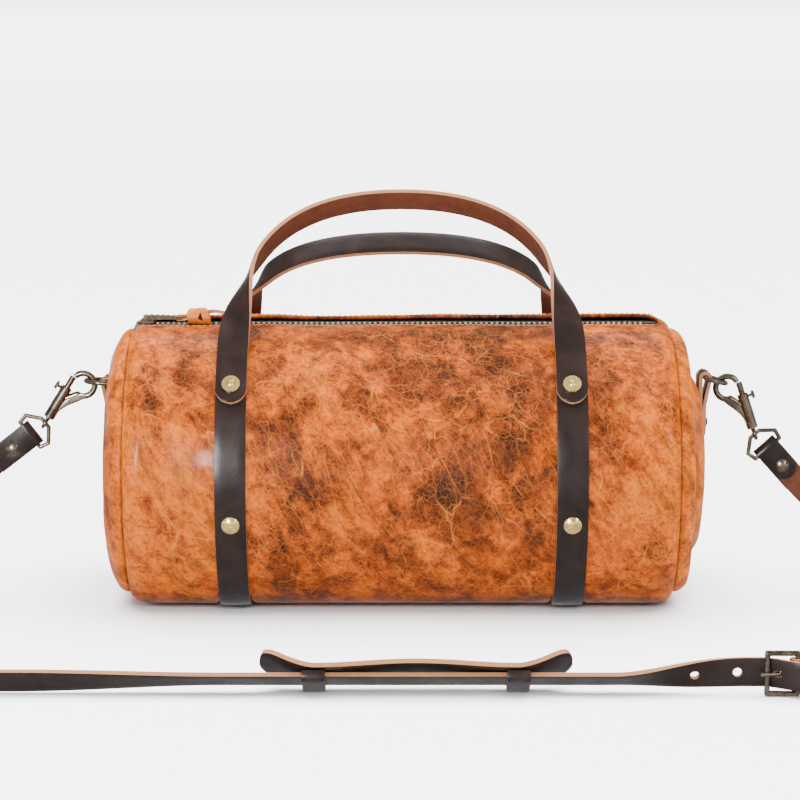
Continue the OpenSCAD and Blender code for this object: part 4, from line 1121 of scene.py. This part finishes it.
# Metals by how a node's name starts; all others are nickel
METALS = [
    (("band_rivets", "handle_rivet"), BRASS),
    # The front teeth's lighter metal is a painted highlight; the rear teeth share the slider's dark metal
    (("zip_teeth_front",), HIGHLIT_TOOTH_METAL),
    (("zip_teeth_rear", "zip_stops", "zip_slider", "zip_pull"), ZIP_METAL),
]


def paint_metal():
    """Gives the nodes a metal, which shows on those that no piece below stands for."""
    for name in nodes:
        material = next((metal for starts, metal in METALS if name.startswith(starts)), NICKEL)
        for place in nodes[name].material_slots:
            place.material = material


def stage():
    """The white floor that the bag stands on."""
    s = Shader("floor", roughness=0.7, specular=0.1)
    s.color(s.ramp(s.noise(1.5, 2), (0.3, 0.92), (0.7, 0.93)))
    bpy.ops.mesh.primitive_plane_add(size=80, location=(0, 0, -0.0002))
    floor = bpy.context.object
    floor.name = "floor"
    floor.data.materials.append(s.material)
    # The leather would otherwise mirror the white floor and look chalky
    floor.visible_glossy = False


def light(name, place, aim, width, height, power, mirrored=True, lights_up=True):
    """A lamp that may show only as a reflection, or only light things up."""
    lamp = bpy.data.lights.new(name, "AREA")
    lamp.energy = power
    lamp.shape = "RECTANGLE"
    lamp.size = width
    lamp.size_y = height
    holder = new_object(name, lamp)
    holder.location = place
    holder.rotation_euler = (Vector(aim) - Vector(place)).to_track_quat("-Z", "Y").to_euler()
    holder.visible_glossy = mirrored
    holder.visible_diffuse = lights_up


# The room's brightness by the height of the direction, from straight down at 0 to straight up at 1
ROOM = [(0.0, 0.15), (0.485, 0.15), (0.492, 1.0), (0.508, 1.0), (0.525, 0.05), (1.0, 0.09)]
ROOM_STRENGTH = 5.7


def lights():
    """A white studio: a broad soft light overhead, a dim room in front, and a white sweep at the horizon."""
    world = bpy.data.worlds.new("studio")
    world.use_nodes = True
    tree = world.node_tree
    way = tree.nodes.new("ShaderNodeTexCoord")
    split = tree.nodes.new("ShaderNodeSeparateXYZ")
    height = tree.nodes.new("ShaderNodeMath")
    height.operation = "MULTIPLY_ADD"
    height.inputs[1].default_value = 0.5
    height.inputs[2].default_value = 0.5
    ramp = tree.nodes.new("ShaderNodeValToRGB")
    while len(ramp.color_ramp.elements) < len(ROOM):
        ramp.color_ramp.elements.new(0.5)
    for element, (place, value) in zip(ramp.color_ramp.elements, ROOM):
        element.position = place
        element.color = (value, value, value, 1)
    tree.links.new(way.outputs["Generated"], split.inputs[0])
    tree.links.new(split.outputs["Z"], height.inputs[0])
    tree.links.new(height.outputs[0], ramp.inputs["Fac"])
    tree.links.new(ramp.outputs["Color"], tree.nodes["Background"].inputs["Color"])
    tree.nodes["Background"].inputs["Strength"].default_value = ROOM_STRENGTH
    bpy.context.scene.world = world
    ceiling = bpy.data.lights.new("ceiling", "SUN")
    ceiling.energy = 18.0
    ceiling.angle = math.radians(85)
    holder = new_object("ceiling", ceiling)
    holder.rotation_euler = (math.radians(-6), math.radians(4), 0)
    holder.visible_glossy = False
    light("front fill", (0.3, -2.4, 1.5), (0, 0, 0.1), 2.4, 1.2, 75, mirrored=False)
    light("left fill", (-1.3, -0.7, 0.45), (-0.18, 0, 0.09), 0.8, 0.8, 11, mirrored=False)
    light("top strip", (0, 0.56, 1.2), (0, 0, 0.1), 1.1, 0.3, 8, lights_up=False)
    light("left window", (-0.62, -1.45, 0.42), (-0.06, 0, 0.09), 0.16, 0.40, 46, lights_up=False)
    light("right window", (1.1, -1.2, 0.8), (0, 0, 0.1), 0.25, 0.6, 12, lights_up=False)


# The camera's focal length and picture width in pixels, its look down in degrees, and its place
FOCAL = 2430
PICTURE = 800
LOOK_DOWN = 8.02
EYE = (-0.0009, -1.487, 0.330)


def camera():
    """The photo's eye, low and straight in front of the bag."""
    lens = bpy.data.cameras.new("camera")
    lens.sensor_width = 36
    lens.lens = FOCAL / PICTURE * lens.sensor_width
    lens.clip_start = 0.05
    lens.clip_end = 50
    eye = new_object("camera", lens)
    eye.location = EYE
    eye.rotation_euler = (math.radians(90 - LOOK_DOWN), 0, 0)
    bpy.context.scene.camera = eye


paint_metal()
body_shell()
end_panel(-1, -FACE_LEFT, -FACE_LEFT + 0.3 * MM, 70 * MM, 62 * MM, "left_end", "end_panel_left")
end_panel(1, FACE_RIGHT, FACE_RIGHT - 10.5 * MM, 70 * MM, 60 * MM, "right_end", "end_panel_right")
band(-1, "band_left")
band(1, "band_right")
handle("front_hand_strap", -1, 132.5, 70, 90, "front_handle", "handle_front", "handle_front_ends")
handle("rear_hand_strap", 1, 97.5, 62, 84, "rear_handle", "handle_rear", "handle_rear_ends")
strap_run()
leads()
hook_neck("hook_neck_left", *LEFT_HANG, "snap_left")
hook_neck("hook_neck_right", *RIGHT_HANG, "snap_right")
tapes()
stitches()
lace()
small_leather()
pad()
stage()
lights()
camera()
